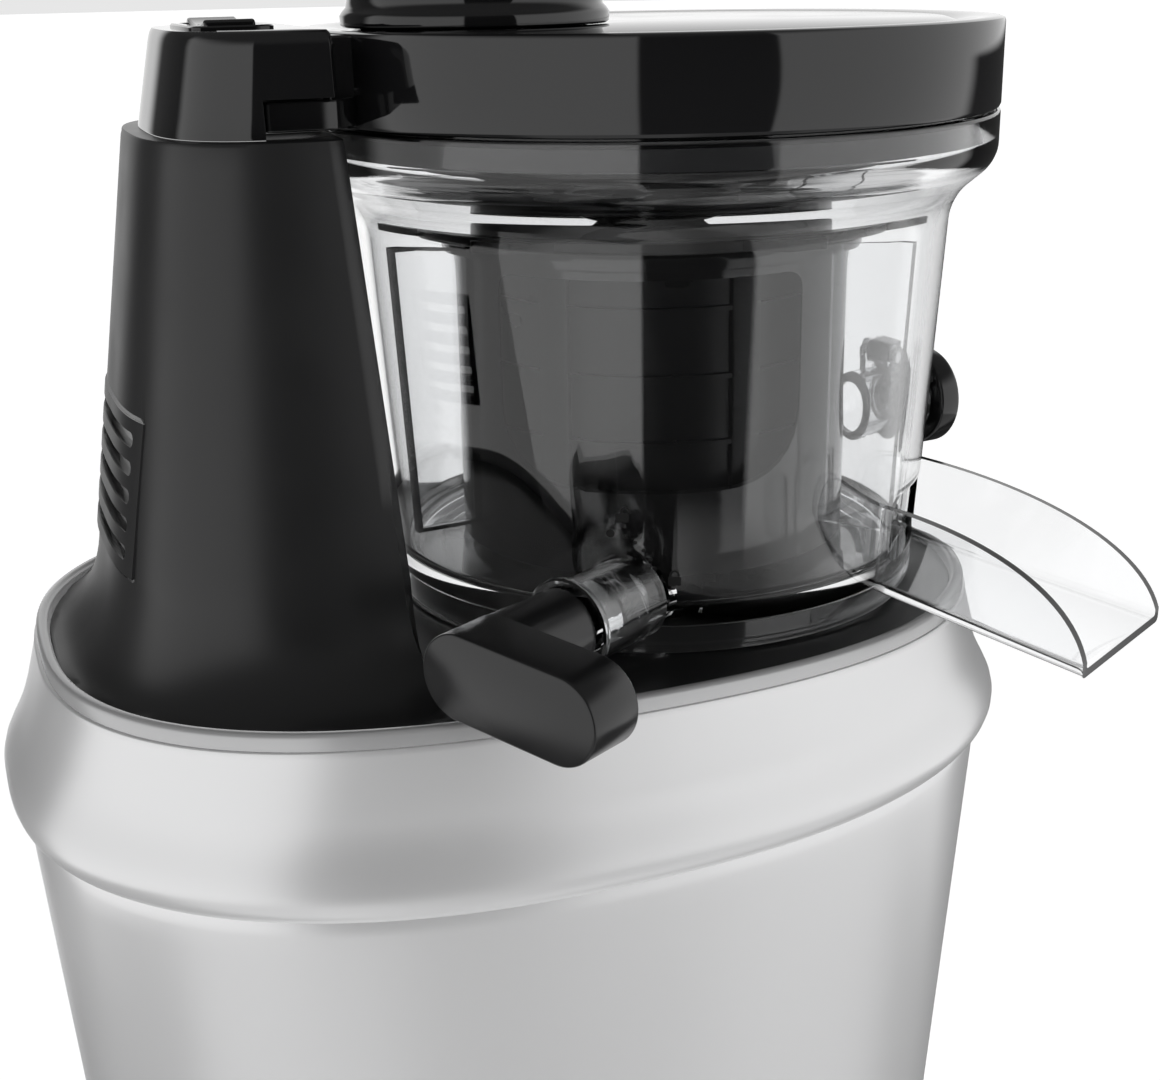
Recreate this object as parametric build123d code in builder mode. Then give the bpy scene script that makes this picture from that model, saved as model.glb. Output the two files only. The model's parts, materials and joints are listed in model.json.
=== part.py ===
"""A vertical slow juicer: oval base with gear motor, tower, clear bowl, auger, strainer, lid and pusher.

Units are millimetres, +Z is up. The origin is the middle of the oval base on the surface it stands on.
+X runs from the tower to the bowl. The bowl axis is vertical at (bowl_x, 0).
"""
from build123d import *
from math import cos, pi, radians, sin, tan
import os

# ------------------------------------------------------------------ driving dimensions
gap = 0.3                     # clearance between pieces that move past each other
running = 0.05                # radial clearance of a shaft in its bearing
wall = 3.0                    # base and tower shell thickness

oval_power = 2.6              # superellipse power of the base outline
base_bottom_z = 7.0
screw_pitch_x = 160.0         # spacing of the bottom cover's four screws
screw_pitch_y = 40.0
screw_head = 3.0
screw_head_height = 1.4
crease_z = 138.0              # where the shoulder ridge meets the trunk
rim_z = 178.0                 # top of the light rim lip
rim_half_x = 103.2
rim_half_y = 76.2
rim_width = 2.6
deck_z = 176.0
deck_thick = 6.0
trunk_sections = [(base_bottom_z, 101.0, 66.0), (70.0, 105.2, 69.8), (crease_z, 110.0, 74.5)]
shoulder_sections = [(crease_z, 110.0, 74.5), (150.0, 113.5, 78.0), (162.0, 109.0, 77.6), (173.0, 104.0, 76.6)]

bowl_x = 36.0                 # vertical axis of bowl, auger, output shaft and lid
lid_radius = 74.0
lid_bottom_z = 280.0
lid_top_z = 298.0
bowl_bottom_z = 176.4
bowl_floor_z = 182.0
bowl_floor_thick = 4.0
bowl_wall = 2.6
bowl_foot_radius = 59.6
bowl_neck_radius = 64.6
bowl_neck_z = 259.0
bowl_top_z = 279.6

tower_power = 3.0
tower_top_z = 280.0
# tower sections: height, flat inner face x, outermost x, half width in y
tower_flare = [
    (171.0, -32.0, -100.6, 70.0),
    (176.0, -33.4, -96.6, 64.0),
    (181.0, -34.2, -92.8, 58.4),
    (188.0, -34.9, -89.6, 53.4),
    (198.0, -35.5, -87.6, 50.6),
]
tower_top = (tower_top_z, -40.2, -74.8, 37.4)
cap_bottom = (tower_top_z, -40.2, -71.6, 34.6)
cap_top_z = 299.0
cap_top = (cap_top_z, -40.2, -67.6, 32.0)

notch_depth = 14.0            # pocket in the cap that holds the lid's locking tongue
notch_height = 7.2
notch_y = -17.0               # back wall of that pocket

vent_low_z = 197.0
vent_high_z = 229.0
vent_half_y = 27.0
vent_slots = 5
vent_pitch = 5.6
vent_slot_height = 2.9

chute_angle = -60.0           # direction in which pulp leaves, about the bowl axis
chute_offset = 18.6           # sideways offset of the chute's centre line from the bowl axis
chute_half_width = 20.0
chute_lip = 107.0             # distance of the lip from the bowl axis
chute_root_z = 180.6          # underside of the chute floor at the bowl
chute_drop = 7.8              # fall of the floor from bowl to lip
chute_wall_top = 19.4         # wall height above the floor at the bowl
sheet = 2.0                   # thickness of clear chute walls

lever_axis_angle = 210.0      # outward direction of the lever's axis
lever_offset = 32.0           # distance of that axis from the bowl axis
lever_z = 189.0
lever_half_height = 8.5
lever_arm = 31.5              # hub centre to far end
lever_rest_tilt = -5.0        # direction of the arm at rest, below the horizontal
lever_depth = 12.5
lever_front = 102.0           # outer face, measured along the axis from the bowl axis
nozzle_end = 71.4
nozzle_radius = 8.6
plug_root = 52.0              # inner end of the lever's plug, measured from the bowl axis
stem_radius = 6.6

spout_angle = 8.0
spout_z = 205.0
spout_end = 76.0
spout_radius = 8.5
juice_cap_radius = 11.8
juice_cap_thick = 6.0
cap_pin_radius = 1.5

feed_x = -3.0                 # axis of the feed chute
feed_radius = 26.0
feed_bore = 23.2
feed_top_z = 372.0
feed_mouth_radius = 33.0
pusher_radius = 22.6
pusher_low_z = 301.0
pusher_top_z = 394.0

stage1_module = 1.0
stage2_module = 1.25
pinion_teeth = 14
wheel_teeth = 56
motor_x = bowl_x - (stage1_module + stage2_module) * (pinion_teeth + wheel_teeth) / 2
inter_x = bowl_x - stage2_module * (pinion_teeth + wheel_teeth) / 2
stage1_z = 144.0
stage1_width = 6.0
stage2_z = 152.0
stage2_width = 10.0

brush_module = 1.5
auger_teeth = 20
idler_teeth = 15
ring_teeth = auger_teeth + 2 * idler_teeth
idler_distance = brush_module * (auger_teeth + idler_teeth) / 2
idler_angle = 90.0
brush_gear_z = 188.0
brush_gear_width = 7.0
cage_radius = 44.0
cage_top_z = 256.0
strainer_radius = 39.4
strainer_low_z = 199.0
auger_radius = 34.0
wiper_thick = 2.0
wiper_low_z = 193.0
wiper_high_z = 255.0
wiper_low_reach = 57.2        # reach of the wipers' outer edge at their lower and upper ends
wiper_high_reach = 60.6

motor_radius = 36.0
motor_low_z = 48.0
motor_high_z = 132.0
shaft_radius = 4.0
drive_radius = 7.0
drive_hex = 12.0              # across flats

os.makedirs("parts", exist_ok=True)


def finish(builder, label):
    """Label one finished piece and write it."""
    builder.part.label = label
    export_step(builder.part, f"parts/{label}.step")


# ------------------------------------------------------------------ outlines and solids used more than once
def oval_points(half_x, half_y, power=oval_power, count=28):
    """Points round a full superellipse."""
    points = []
    for i in range(count):
        c = cos(2 * pi * i / count)
        s = sin(2 * pi * i / count)
        reach = (abs(c) ** power + abs(s) ** power) ** (-1 / power)
        points.append((half_x * reach * c, half_y * reach * s))
    return points


def oval_loft(sections, shrink=0.0, ruled=False):
    """A solid through superellipse sections (z, half_x, half_y), each made smaller by shrink."""
    with BuildPart() as solid:
        for z, half_x, half_y in sections:
            with BuildSketch(Plane.XY.offset(z)):
                with BuildLine():
                    Spline(*oval_points(half_x - shrink, half_y - shrink), periodic=True)
                make_face()
        loft(ruled=ruled)
    return solid.part


def tower_points(face_x, outer_x, half_y, count=12):
    """Points of the tower's outline, from one end of its flat inner face round to the other."""
    points = []
    for i in range(count + 1):
        angle = pi / 2 + pi * i / count
        c = cos(angle)
        s = sin(angle)
        reach = (abs(c) ** tower_power + abs(s) ** tower_power) ** (-1 / tower_power)
        points.append((face_x + (face_x - outer_x) * reach * c, half_y * reach * s))
    return points


def tower_loft(sections, shrink=0.0):
    """A solid through tower sections (z, face_x, outer_x, half_y); shrink moves every wall inwards."""
    with BuildPart() as solid:
        for z, face_x, outer_x, half_y in sections:
            points = tower_points(face_x - shrink, outer_x + shrink, half_y - shrink)
            with BuildSketch(Plane.XY.offset(z)):
                with BuildLine():
                    Spline(*points)
                    Line(points[-1], points[0])
                make_face()
        loft()
    return solid.part


def gear_points(module, teeth, phase, internal=False):
    """Corner points of a toothed wheel; each flank follows the 25 degree involute at its three heights."""
    pitch = module * teeth / 2
    if internal:
        levels = [(pitch + 1.25 * module, -1), (pitch, 0), (pitch - 0.85 * module, 1)]
    else:
        levels = [(pitch - 1.25 * module, -1), (pitch, 0), (pitch + 0.85 * module, 1)]
    half_pitch_angle = pi / (2 * teeth) - 0.06 * module / pitch
    slope = tan(radians(25.0))
    points = []
    for tooth in range(teeth):
        centre = phase + 2 * pi * tooth / teeth
        left = []
        right = []
        for radius, _ in levels:
            narrowing = abs(radius - pitch) * slope / pitch
            above = (radius - pitch) * (-1 if internal else 1) > 0
            half = half_pitch_angle + (-narrowing if above else narrowing)
            left.append((radius * cos(centre - half), radius * sin(centre - half)))
            right.append((radius * cos(centre + half), radius * sin(centre + half)))
        points += left + right[::-1]
    return points


def gear_disc(module, teeth, phase, centre, z, width):
    """An external toothed disc standing at centre = (x, y) from z upwards."""
    with BuildPart() as disc:
        with BuildSketch(Plane.XY.offset(z)):
            with Locations(centre):
                points = gear_points(module, teeth, phase)
                Polygon(*points, align=None)
        extrude(amount=width)
    return disc.part


def axis_plane(angle, z, along, side=0.0):
    """A plane facing outwards along a horizontal direction from the bowl axis, with its y axis up."""
    out = Vector(cos(radians(angle)), sin(radians(angle)), 0)
    left = Vector(-out.Y, out.X, 0)
    origin = Vector(bowl_x, 0, z) + out * along + left * side
    return Plane(origin=origin, x_dir=left, z_dir=out)


# ------------------------------------------------------------------ base shell
outer_trunk = oval_loft(trunk_sections)
inner_trunk = oval_loft(trunk_sections, wall)
outer_shoulder = oval_loft(shoulder_sections)
inner_shoulder = oval_loft(shoulder_sections, wall)

with BuildPart() as base_housing:
    add(outer_trunk)
    add(outer_shoulder)
    add(inner_trunk, mode=Mode.SUBTRACT)
    add(inner_shoulder, mode=Mode.SUBTRACT)
    with BuildSketch(Plane.XY.offset(deck_z - deck_thick - 4)):
        with BuildLine():
            Spline(*oval_points(102.6, 74.6), periodic=True)
        make_face()
        with BuildLine():
            Spline(*oval_points(95.0, 68.0), periodic=True)
        make_face(mode=Mode.SUBTRACT)
    extrude(amount=4)
    with Locations((0, 0, base_bottom_z + 3.1)):
        with GridLocations(screw_pitch_x + 19.0, screw_pitch_y, 2, 2):
            Box(19.0, 3.0, 18.0, align=(Align.CENTER, Align.CENTER, Align.MIN))
        with GridLocations(screw_pitch_x, screw_pitch_y, 2, 2):
            Cylinder(5.0, 18.0, align=(Align.CENTER, Align.CENTER, Align.MIN))
            Cylinder(1.6, 40.0, mode=Mode.SUBTRACT)
    with Locations(Location((-100, 0, 34), (0, 90, 0))):
        Cylinder(6.1, 30, mode=Mode.SUBTRACT)
finish(base_housing, "base_housing")

with BuildPart() as rim_trim:
    for half_x, half_y, mode in (
        (rim_half_x, rim_half_y, Mode.ADD),
        (rim_half_x - rim_width, rim_half_y - rim_width, Mode.SUBTRACT),
    ):
        with BuildSketch(Plane.XY.offset(173.0)):
            with BuildLine():
                Spline(*oval_points(half_x, half_y), periodic=True)
            make_face()
        extrude(amount=rim_z - 173.0, mode=mode)
finish(rim_trim, "rim_trim")

with BuildPart() as bottom_cover:
    with BuildSketch(Plane.XY.offset(base_bottom_z)):
        with BuildLine():
            Spline(*oval_points(97.6, 62.6), periodic=True)
        make_face()
    extrude(amount=3)
    with BuildSketch(Plane.XY.offset(3.0)):
        with BuildLine():
            Spline(*oval_points(88.0, 53.0), periodic=True)
        make_face()
        with BuildLine():
            Spline(*oval_points(60.0, 25.0), periodic=True)
        make_face(mode=Mode.SUBTRACT)
    extrude(amount=base_bottom_z - 3.0)
    with GridLocations(8, 6, 7, 5):
        Cylinder(1.5, 30, mode=Mode.SUBTRACT)
    with GridLocations(screw_pitch_x, screw_pitch_y, 2, 2):
        Cylinder(1.7, 30, mode=Mode.SUBTRACT)
        Cylinder(screw_head + gap, base_bottom_z, align=(Align.CENTER, Align.CENTER, Align.MIN), mode=Mode.SUBTRACT)
finish(bottom_cover, "bottom_cover")

with BuildPart() as foot_ring:
    for half_x, half_y, mode in ((92.0, 57.0, Mode.ADD), (88.2, 53.2, Mode.SUBTRACT)):
        with BuildSketch(Plane.XY):
            with BuildLine():
                Spline(*oval_points(half_x, half_y), periodic=True)
            make_face()
        extrude(amount=base_bottom_z, mode=mode)
finish(foot_ring, "foot_ring")

# ------------------------------------------------------------------ tower and deck
deck_half_x = rim_half_x - rim_width - 0.2
deck_half_y = rim_half_y - rim_width - 0.2
deck_prism = oval_loft([(160.0, deck_half_x, deck_half_y), (200.0, deck_half_x, deck_half_y)])
with BuildPart() as trimmed_flare:
    add(tower_loft(tower_flare))
    add(deck_prism, mode=Mode.INTERSECT)
outer_flare = trimmed_flare.part
outer_tower = tower_loft([tower_flare[-1], tower_top])
inner_tower = tower_loft([tower_flare[-1], (tower_top_z - wall,) + tower_top[1:]], wall)
inner_foot = tower_loft([(165.0,) + tower_flare[-1][1:], tower_flare[-1]], wall)

with BuildPart() as tower_housing:
    with BuildSketch(Plane.XY.offset(deck_z - deck_thick)):
        with BuildLine():
            Spline(*oval_points(deck_half_x, deck_half_y), periodic=True)
        make_face()
    extrude(amount=deck_thick)
    add(outer_flare)
    add(outer_tower)
    with BuildSketch(Plane.XY.offset(160.0)):
        Rectangle(260, 200)
    extrude(amount=deck_z - deck_thick - 160.0, mode=Mode.SUBTRACT)
    add(inner_foot, mode=Mode.SUBTRACT)
    add(inner_tower, mode=Mode.SUBTRACT)
    with Locations((bowl_x, 0, deck_z)):
        Cylinder(16.3, 30, mode=Mode.SUBTRACT)
    with Locations((-55.0, 3.0, tower_top_z)):
        Box(8.0, 18.0, 10, mode=Mode.SUBTRACT)
    with Locations((-90, 0, (vent_low_z + vent_high_z) / 2)):
        Box(60, 2 * vent_half_y, vent_high_z - vent_low_z, mode=Mode.SUBTRACT)
finish(tower_housing, "tower_housing")

grille_core = tower_loft([(180.0,) + tower_flare[-1][1:], tower_flare[-1]], 2.4)
grille_skin = tower_loft([tower_flare[-1], tower_top], 2.4)
with BuildPart() as vent_grille:
    add(outer_tower)
    add(outer_flare)
    add(grille_skin, mode=Mode.SUBTRACT)
    add(grille_core, mode=Mode.SUBTRACT)
    with Locations((-90, 0, (vent_low_z + vent_high_z) / 2)):
        Box(59.4, 2 * vent_half_y - 0.6, vent_high_z - vent_low_z - 0.6, mode=Mode.INTERSECT)
    for slot in range(vent_slots):
        slot_z = (vent_low_z + vent_high_z) / 2 + (slot - (vent_slots - 1) / 2) * vent_pitch
        with BuildSketch(Plane(origin=(-130, 0, slot_z), x_dir=(0, 1, 0), z_dir=(1, 0, 0))):
            SlotOverall(2 * vent_half_y - 9, vent_slot_height)
        extrude(amount=70, mode=Mode.SUBTRACT)
finish(vent_grille, "vent_grille")

with BuildPart() as tower_cap:
    add(tower_loft([cap_bottom, cap_top]))
    with BuildSketch(Plane.XY.offset(tower_top_z)):
        with Locations((tower_top[1] - notch_depth / 2, notch_y - 20.0)):
            Rectangle(notch_depth, 40.0)
    extrude(amount=notch_height, mode=Mode.SUBTRACT)
    with Locations((-54.0, 5.0, 284.0)):
        Box(14, 40, 14, mode=Mode.SUBTRACT)
    with Locations((-55.0, 0, cap_top_z)):
        Box(12.4, 25.0, 15, mode=Mode.SUBTRACT)
finish(tower_cap, "tower_cap")

rocker_pivot_z = 296.0
rocker_pin_radius = 1.2
with BuildPart() as switch_bezel:
    with BuildSketch(Plane.XY.offset(cap_top_z)):
        with Locations((-55.0, 0)):
            RectangleRounded(16.0, 29.0, 3.0)
            Rectangle(10.6, 23.4, mode=Mode.SUBTRACT)
    extrude(amount=1.2)
    with BuildSketch(Plane.XY.offset(292.0)):
        with Locations((-55.0, 0)):
            Rectangle(12.2, 24.8)
            Rectangle(10.6, 23.4, mode=Mode.SUBTRACT)
    extrude(amount=cap_top_z - 292.0)
    with Locations(Location((-55.0, 0, rocker_pivot_z), (0, 90, 0))):
        Cylinder(rocker_pin_radius + running, 20.0, mode=Mode.SUBTRACT)
finish(switch_bezel, "switch_bezel")

with BuildPart() as power_rocker:
    with BuildSketch(Plane(origin=(-60.0, 0, 0), x_dir=(0, 1, 0), z_dir=(1, 0, 0))):
        with BuildLine():
            Polyline((-10.6, 297.0), (-10.6, 301.6), (-9.6, 302.2))
            ThreePointArc((-9.6, 302.2), (0, 300.4), (9.6, 302.2))
            Polyline((9.6, 302.2), (10.6, 301.6), (10.6, 297.0), (5.0, 293.2), (-5.0, 293.2), (-10.6, 297.0))
        make_face()
    extrude(amount=10.0)
    with Locations(Location((-55.0, 0, rocker_pivot_z), (0, 90, 0))):
        Cylinder(rocker_pin_radius, 12.0)
finish(power_rocker, "power_rocker")

with BuildPart() as switch_body:
    with Locations((-55.0, 3.0, 285.6)):
        Box(11.6, 20.0, 9.0)
    with GridLocations(0.1, 12.0, 1, 2):
        with Locations((-55.0, 3.0, 279.2)):
            Box(4.0, 0.8, 4.2)
finish(switch_body, "switch_body")

with BuildPart() as lid_sensor:
    with Locations((-51.0, -12.0, 281.6)):
        Box(6.0, 4.0, 3.0)
finish(lid_sensor, "lid_sensor")

# ------------------------------------------------------------------ seat, gearbox and drive
with BuildPart() as bowl_seat:
    with BuildSketch(Plane.XY.offset(deck_z)):
        with Locations((bowl_x, 0)):
            Circle(54.0)
            Circle(16.5, mode=Mode.SUBTRACT)
    extrude(amount=3.0)
    with BuildSketch(Plane.XY.offset(deck_z + 3.0)):
        with Locations((bowl_x, 0)):
            Circle(54.0)
            Circle(50.0, mode=Mode.SUBTRACT)
    extrude(amount=2.4)
    with Locations(Location((bowl_x, 0, deck_z + 4.2))):
        with PolarLocations(46.0, 3, 30):
            Box(7.0, 14.0, 2.4)
finish(bowl_seat, "bowl_seat")


def gearbox_outline(margin):
    """Draw circles round the three gear axes and wrap them in one outline."""
    with Locations((motor_x, 0)):
        Circle(13.0 + margin)
    with Locations((inter_x, 0)):
        Circle(stage1_module * wheel_teeth / 2 + 3.0 + margin)
    with Locations((bowl_x, 0)):
        Circle(stage2_module * wheel_teeth / 2 + 3.0 + margin)
    make_hull()


screw_spots = [(x, side * y) for x, y in ((-39.5, 23.5), (8.0, 39.5), (66.8, 30.8)) for side in (1, -1)]
gearbox_floor_z = 139.0
gearbox_lid_z = 164.0
gearbox_top_z = 167.0
with BuildPart() as gearbox_housing:
    with BuildSketch(Plane.XY.offset(gearbox_floor_z)):
        gearbox_outline(2.6)
    extrude(amount=gearbox_lid_z - gearbox_floor_z)
    with BuildSketch(Plane.XY.offset(gearbox_floor_z)):
        with Locations(*screw_spots):
            Circle(5.0)
    extrude(amount=gearbox_lid_z - gearbox_floor_z)
    with BuildSketch(Plane.XY.offset(gearbox_floor_z + 3.0)):
        gearbox_outline(0.0)
    extrude(amount=gearbox_lid_z - gearbox_floor_z, mode=Mode.SUBTRACT)
    with Locations((motor_x, 0, gearbox_floor_z)):
        Cylinder(6.0, 10, mode=Mode.SUBTRACT)
    with Locations((bowl_x, 0, gearbox_floor_z + 3.0)):
        Cylinder(11.0, 2.0, align=(Align.CENTER, Align.CENTER, Align.MIN))
        Cylinder(drive_radius + running, 12, mode=Mode.SUBTRACT)
    with Locations((inter_x, 0, gearbox_floor_z)):
        Cylinder(2.5, 12, mode=Mode.SUBTRACT)
    with Locations(*[(x, y, gearbox_lid_z) for x, y in screw_spots]):
        Cylinder(1.7, 22, mode=Mode.SUBTRACT)
finish(gearbox_housing, "gearbox_housing")

with BuildPart() as gearbox_cover:
    with BuildSketch(Plane.XY.offset(gearbox_lid_z)):
        gearbox_outline(2.6)
        with Locations(*screw_spots):
            Circle(5.0)
    extrude(amount=gearbox_top_z - gearbox_lid_z)
    with Locations((bowl_x, 0, gearbox_top_z)):
        Cylinder(16.0, 11.5, align=(Align.CENTER, Align.CENTER, Align.MIN))
    with Locations((bowl_x, 0, 160.0)):
        Cylinder(9.0, 30, align=(Align.CENTER, Align.CENTER, Align.MIN), mode=Mode.SUBTRACT)
    with Locations((bowl_x, 0, gearbox_top_z)):
        Cylinder(13.0, 20, align=(Align.CENTER, Align.CENTER, Align.MIN), mode=Mode.SUBTRACT)
    with Locations((inter_x, 0, gearbox_lid_z)):
        Cylinder(2.5, 20, mode=Mode.SUBTRACT)
    with Locations(*[(x, y, gearbox_lid_z) for x, y in screw_spots]):
        Cylinder(1.7, 22, mode=Mode.SUBTRACT)
finish(gearbox_cover, "gearbox_cover")

with BuildPart() as gearbox_screws:
    with Locations(*[(x, y, gearbox_top_z) for x, y in screw_spots]):
        Cylinder(3.0, 2.4, align=(Align.CENTER, Align.CENTER, Align.MIN))
        Cylinder(1.5, 10.0, align=(Align.CENTER, Align.CENTER, Align.MAX))
finish(gearbox_screws, "gearbox_screws")

with BuildPart() as intermediate_pin:
    with Locations((inter_x, 0, gearbox_floor_z)):
        Cylinder(2.45, gearbox_top_z - gearbox_floor_z, align=(Align.CENTER, Align.CENTER, Align.MIN))
finish(intermediate_pin, "intermediate_pin")

wheel_phase = pi / wheel_teeth
with BuildPart() as intermediate_gear:
    add(gear_disc(stage1_module, wheel_teeth, wheel_phase, (inter_x, 0), stage1_z, stage1_width))
    add(gear_disc(stage2_module, pinion_teeth, pi / pinion_teeth, (inter_x, 0), stage1_z, stage2_z + stage2_width - stage1_z))
    with Locations((inter_x, 0, stage1_z)):
        Cylinder(2.5, 80, mode=Mode.SUBTRACT)
finish(intermediate_gear, "intermediate_gear")

with BuildPart() as output_gear:
    add(gear_disc(stage2_module, wheel_teeth, 0.0, (bowl_x, 0), stage2_z, stage2_width))
    with Locations((bowl_x, 0, stage2_z)):
        Cylinder(drive_radius, 80, mode=Mode.SUBTRACT)
    with Locations((bowl_x, 0, stage2_z)):
        with PolarLocations(21.0, 6):
            Cylinder(6.5, 80, mode=Mode.SUBTRACT)
finish(output_gear, "output_gear")

with BuildPart() as drive_shaft:
    with Locations((bowl_x, 0, 140.0)):
        Cylinder(drive_radius, 48.0, align=(Align.CENTER, Align.CENTER, Align.MIN))
    with BuildSketch(Plane.XY.offset(188.0)):
        with Locations((bowl_x, 0)):
            RegularPolygon(drive_hex / 2, 6, major_radius=False)
    extrude(amount=16.0)
finish(drive_shaft, "drive_shaft")

with BuildPart() as output_bearing:
    with BuildSketch(Plane.XY.offset(gearbox_top_z)):
        with Locations((bowl_x, 0)):
            Circle(12.95)
            Circle(drive_radius + running, mode=Mode.SUBTRACT)
    extrude(amount=6.0)
finish(output_bearing, "output_bearing")

with BuildPart() as shaft_seal:
    with BuildSketch(Plane.XY.offset(gearbox_top_z + 6.4)):
        with Locations((bowl_x, 0)):
            Circle(12.95)
            Circle(drive_radius + 0.3, mode=Mode.SUBTRACT)
    extrude(amount=4.6)
finish(shaft_seal, "shaft_seal")

# ------------------------------------------------------------------ motor
with BuildPart() as motor_can:
    with BuildSketch(Plane.XY.offset(motor_low_z)):
        with Locations((motor_x, 0)):
            Circle(motor_radius)
            Circle(motor_radius - 1.4, mode=Mode.SUBTRACT)
    extrude(amount=motor_high_z - motor_low_z)
    with Locations((motor_x, 0, 90.0)):
        with PolarLocations(motor_radius, 6, 30):
            Box(10, 9, 40, mode=Mode.SUBTRACT)
finish(motor_can, "motor_can")

with BuildPart() as stator_core:
    with BuildSketch(Plane.XY.offset(68.0)):
        with Locations((motor_x, 0)):
            Circle(motor_radius - 1.5)
            Circle(20.6, mode=Mode.SUBTRACT)
            with PolarLocations(23.0, 6):
                Rectangle(8.0, 5.0, mode=Mode.SUBTRACT)
    extrude(amount=44.0)
finish(stator_core, "stator_core")

with BuildPart() as stator_windings:
    for coil_z in (62.0, 118.0):
        with BuildSketch(Plane(origin=(motor_x, 0, coil_z), x_dir=(1, 0, 0), z_dir=(0, -1, 0))):
            with Locations((27.5, 0)):
                Ellipse(5.4, 5.4)
        revolve(axis=Axis((motor_x, 0, 0), (0, 0, 1)))
finish(stator_windings, "stator_windings")

for label, plate_z, outward in (("motor_bracket_top", motor_high_z, 1), ("motor_bracket_bottom", motor_low_z, -1)):
    with BuildPart() as motor_bracket:
        with BuildSketch(Plane.XY.offset(plate_z)):
            with Locations((motor_x, 0)):
                Circle(motor_radius)
                Circle(9.5, mode=Mode.SUBTRACT)
                with PolarLocations(23.0, 4, 45):
                    Circle(5.0, mode=Mode.SUBTRACT)
        extrude(amount=outward * 6.0)
    finish(motor_bracket, label)

with BuildPart() as motor_bearings:
    for bearing_z in (motor_high_z, motor_low_z - 6.0):
        with BuildSketch(Plane.XY.offset(bearing_z)):
            with Locations((motor_x, 0)):
                Circle(9.45)
                Circle(shaft_radius + running, mode=Mode.SUBTRACT)
        extrude(amount=6.0)
finish(motor_bearings, "motor_bearings")

with BuildPart() as rotor_core:
    with BuildSketch(Plane.XY.offset(68.0)):
        with Locations((motor_x, 0)):
            Circle(20.0)
            Circle(shaft_radius, mode=Mode.SUBTRACT)
            with PolarLocations(17.6, 12):
                Circle(1.3, mode=Mode.SUBTRACT)
    extrude(amount=44.0)
finish(rotor_core, "rotor_core")

with BuildPart() as motor_shaft:
    with Locations((motor_x, 0, 38.0)):
        Cylinder(shaft_radius, stage1_z - 38.0, align=(Align.CENTER, Align.CENTER, Align.MIN))
    add(gear_disc(stage1_module, pinion_teeth, 0.0, (motor_x, 0), stage1_z, stage1_width))
finish(motor_shaft, "motor_shaft")

with BuildPart() as cooling_fan:
    with BuildSketch(Plane.XY.offset(124.5)):
        with Locations((motor_x, 0)):
            Circle(11.0)
            Circle(shaft_radius, mode=Mode.SUBTRACT)
    extrude(amount=6.0)
    with BuildSketch(Plane.XY.offset(124.5)):
        with Locations((motor_x, 0)):
            Circle(32.0)
            Circle(shaft_radius, mode=Mode.SUBTRACT)
    extrude(amount=1.2)
    with Locations((motor_x, 0, 127.6)):
        with PolarLocations(21.5, 11):
            Box(20.0, 1.2, 5.0)
finish(cooling_fan, "cooling_fan")

with BuildPart() as control_board:
    with Locations((60.0, 0, 40.0)):
        Box(56.0, 62.0, 1.6)
    with Locations((44.0, 14.0, 46.8)):
        Box(14.0, 18.0, 12.0)
    with Locations((78.0, -18.0, 45.8)):
        Box(10.0, 12.0, 10.0)
finish(control_board, "control_board")

with BuildPart() as board_posts:
    with Locations((56.0, 0, 10.0)):
        with GridLocations(32.0, 54.0, 2, 2):
            Cylinder(3.5, 29.2, align=(Align.CENTER, Align.CENTER, Align.MIN))
finish(board_posts, "board_posts")

with BuildPart() as motor_capacitor:
    with Locations(Location((64.0, -8.0, 54.0), (90, 0, 0))):
        Cylinder(9.0, 34.0)
finish(motor_capacitor, "motor_capacitor")

with BuildPart() as bottom_screws:
    with Locations((0, 0, base_bottom_z - screw_head_height)):
        with GridLocations(screw_pitch_x, screw_pitch_y, 2, 2):
            Cylinder(1.5, 9.0, align=(Align.CENTER, Align.CENTER, Align.MIN))
            Cylinder(screw_head, screw_head_height, align=(Align.CENTER, Align.CENTER, Align.MIN))
finish(bottom_screws, "bottom_screws")

with BuildPart() as cord_inlet:
    with Locations(Location((-94.0, 0, 34), (0, -90, 0))):
        Cylinder(6.0, 12.0, align=(Align.CENTER, Align.CENTER, Align.MIN))
        Cylinder(8.5, 2.0, align=(Align.CENTER, Align.CENTER, Align.MAX))
        Cylinder(3.4, 80.0, mode=Mode.SUBTRACT)
finish(cord_inlet, "cord_inlet")

# ------------------------------------------------------------------ bowl and its outlets
profile_plane = Plane(origin=(bowl_x, 0, 0), x_dir=(1, 0, 0), z_dir=(0, -1, 0))
bowl_line = Axis((bowl_x, 0, 0), (0, 0, 1))
bowl_inner_z = bowl_floor_z + bowl_floor_thick
bowl_outer = [
    (bowl_foot_radius, bowl_bottom_z),
    (bowl_neck_radius, bowl_neck_z),
    (67.4, 263.5),
    (70.6, 267.2),
    (73.3, 269.8),
    (lid_radius, 272.2),
    (lid_radius, bowl_top_z),
]
bowl_inner = [
    (57.4, bowl_inner_z),
    (62.0, 260.2),
    (65.0, 265.6),
    (68.4, 269.6),
    (70.6, 271.4),
    (71.4, 273.0),
    (71.4, bowl_top_z + 2.0),
]


def revolved(points):
    """A solid of revolution about the bowl axis from (radius, z) corners, closed along the axis."""
    with BuildPart() as solid:
        with BuildSketch(profile_plane):
            with BuildLine():
                Polyline((0, points[0][1]), *points, (0, points[-1][1]), (0, points[0][1]))
            make_face()
        revolve(axis=bowl_line)
    return solid.part


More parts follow.
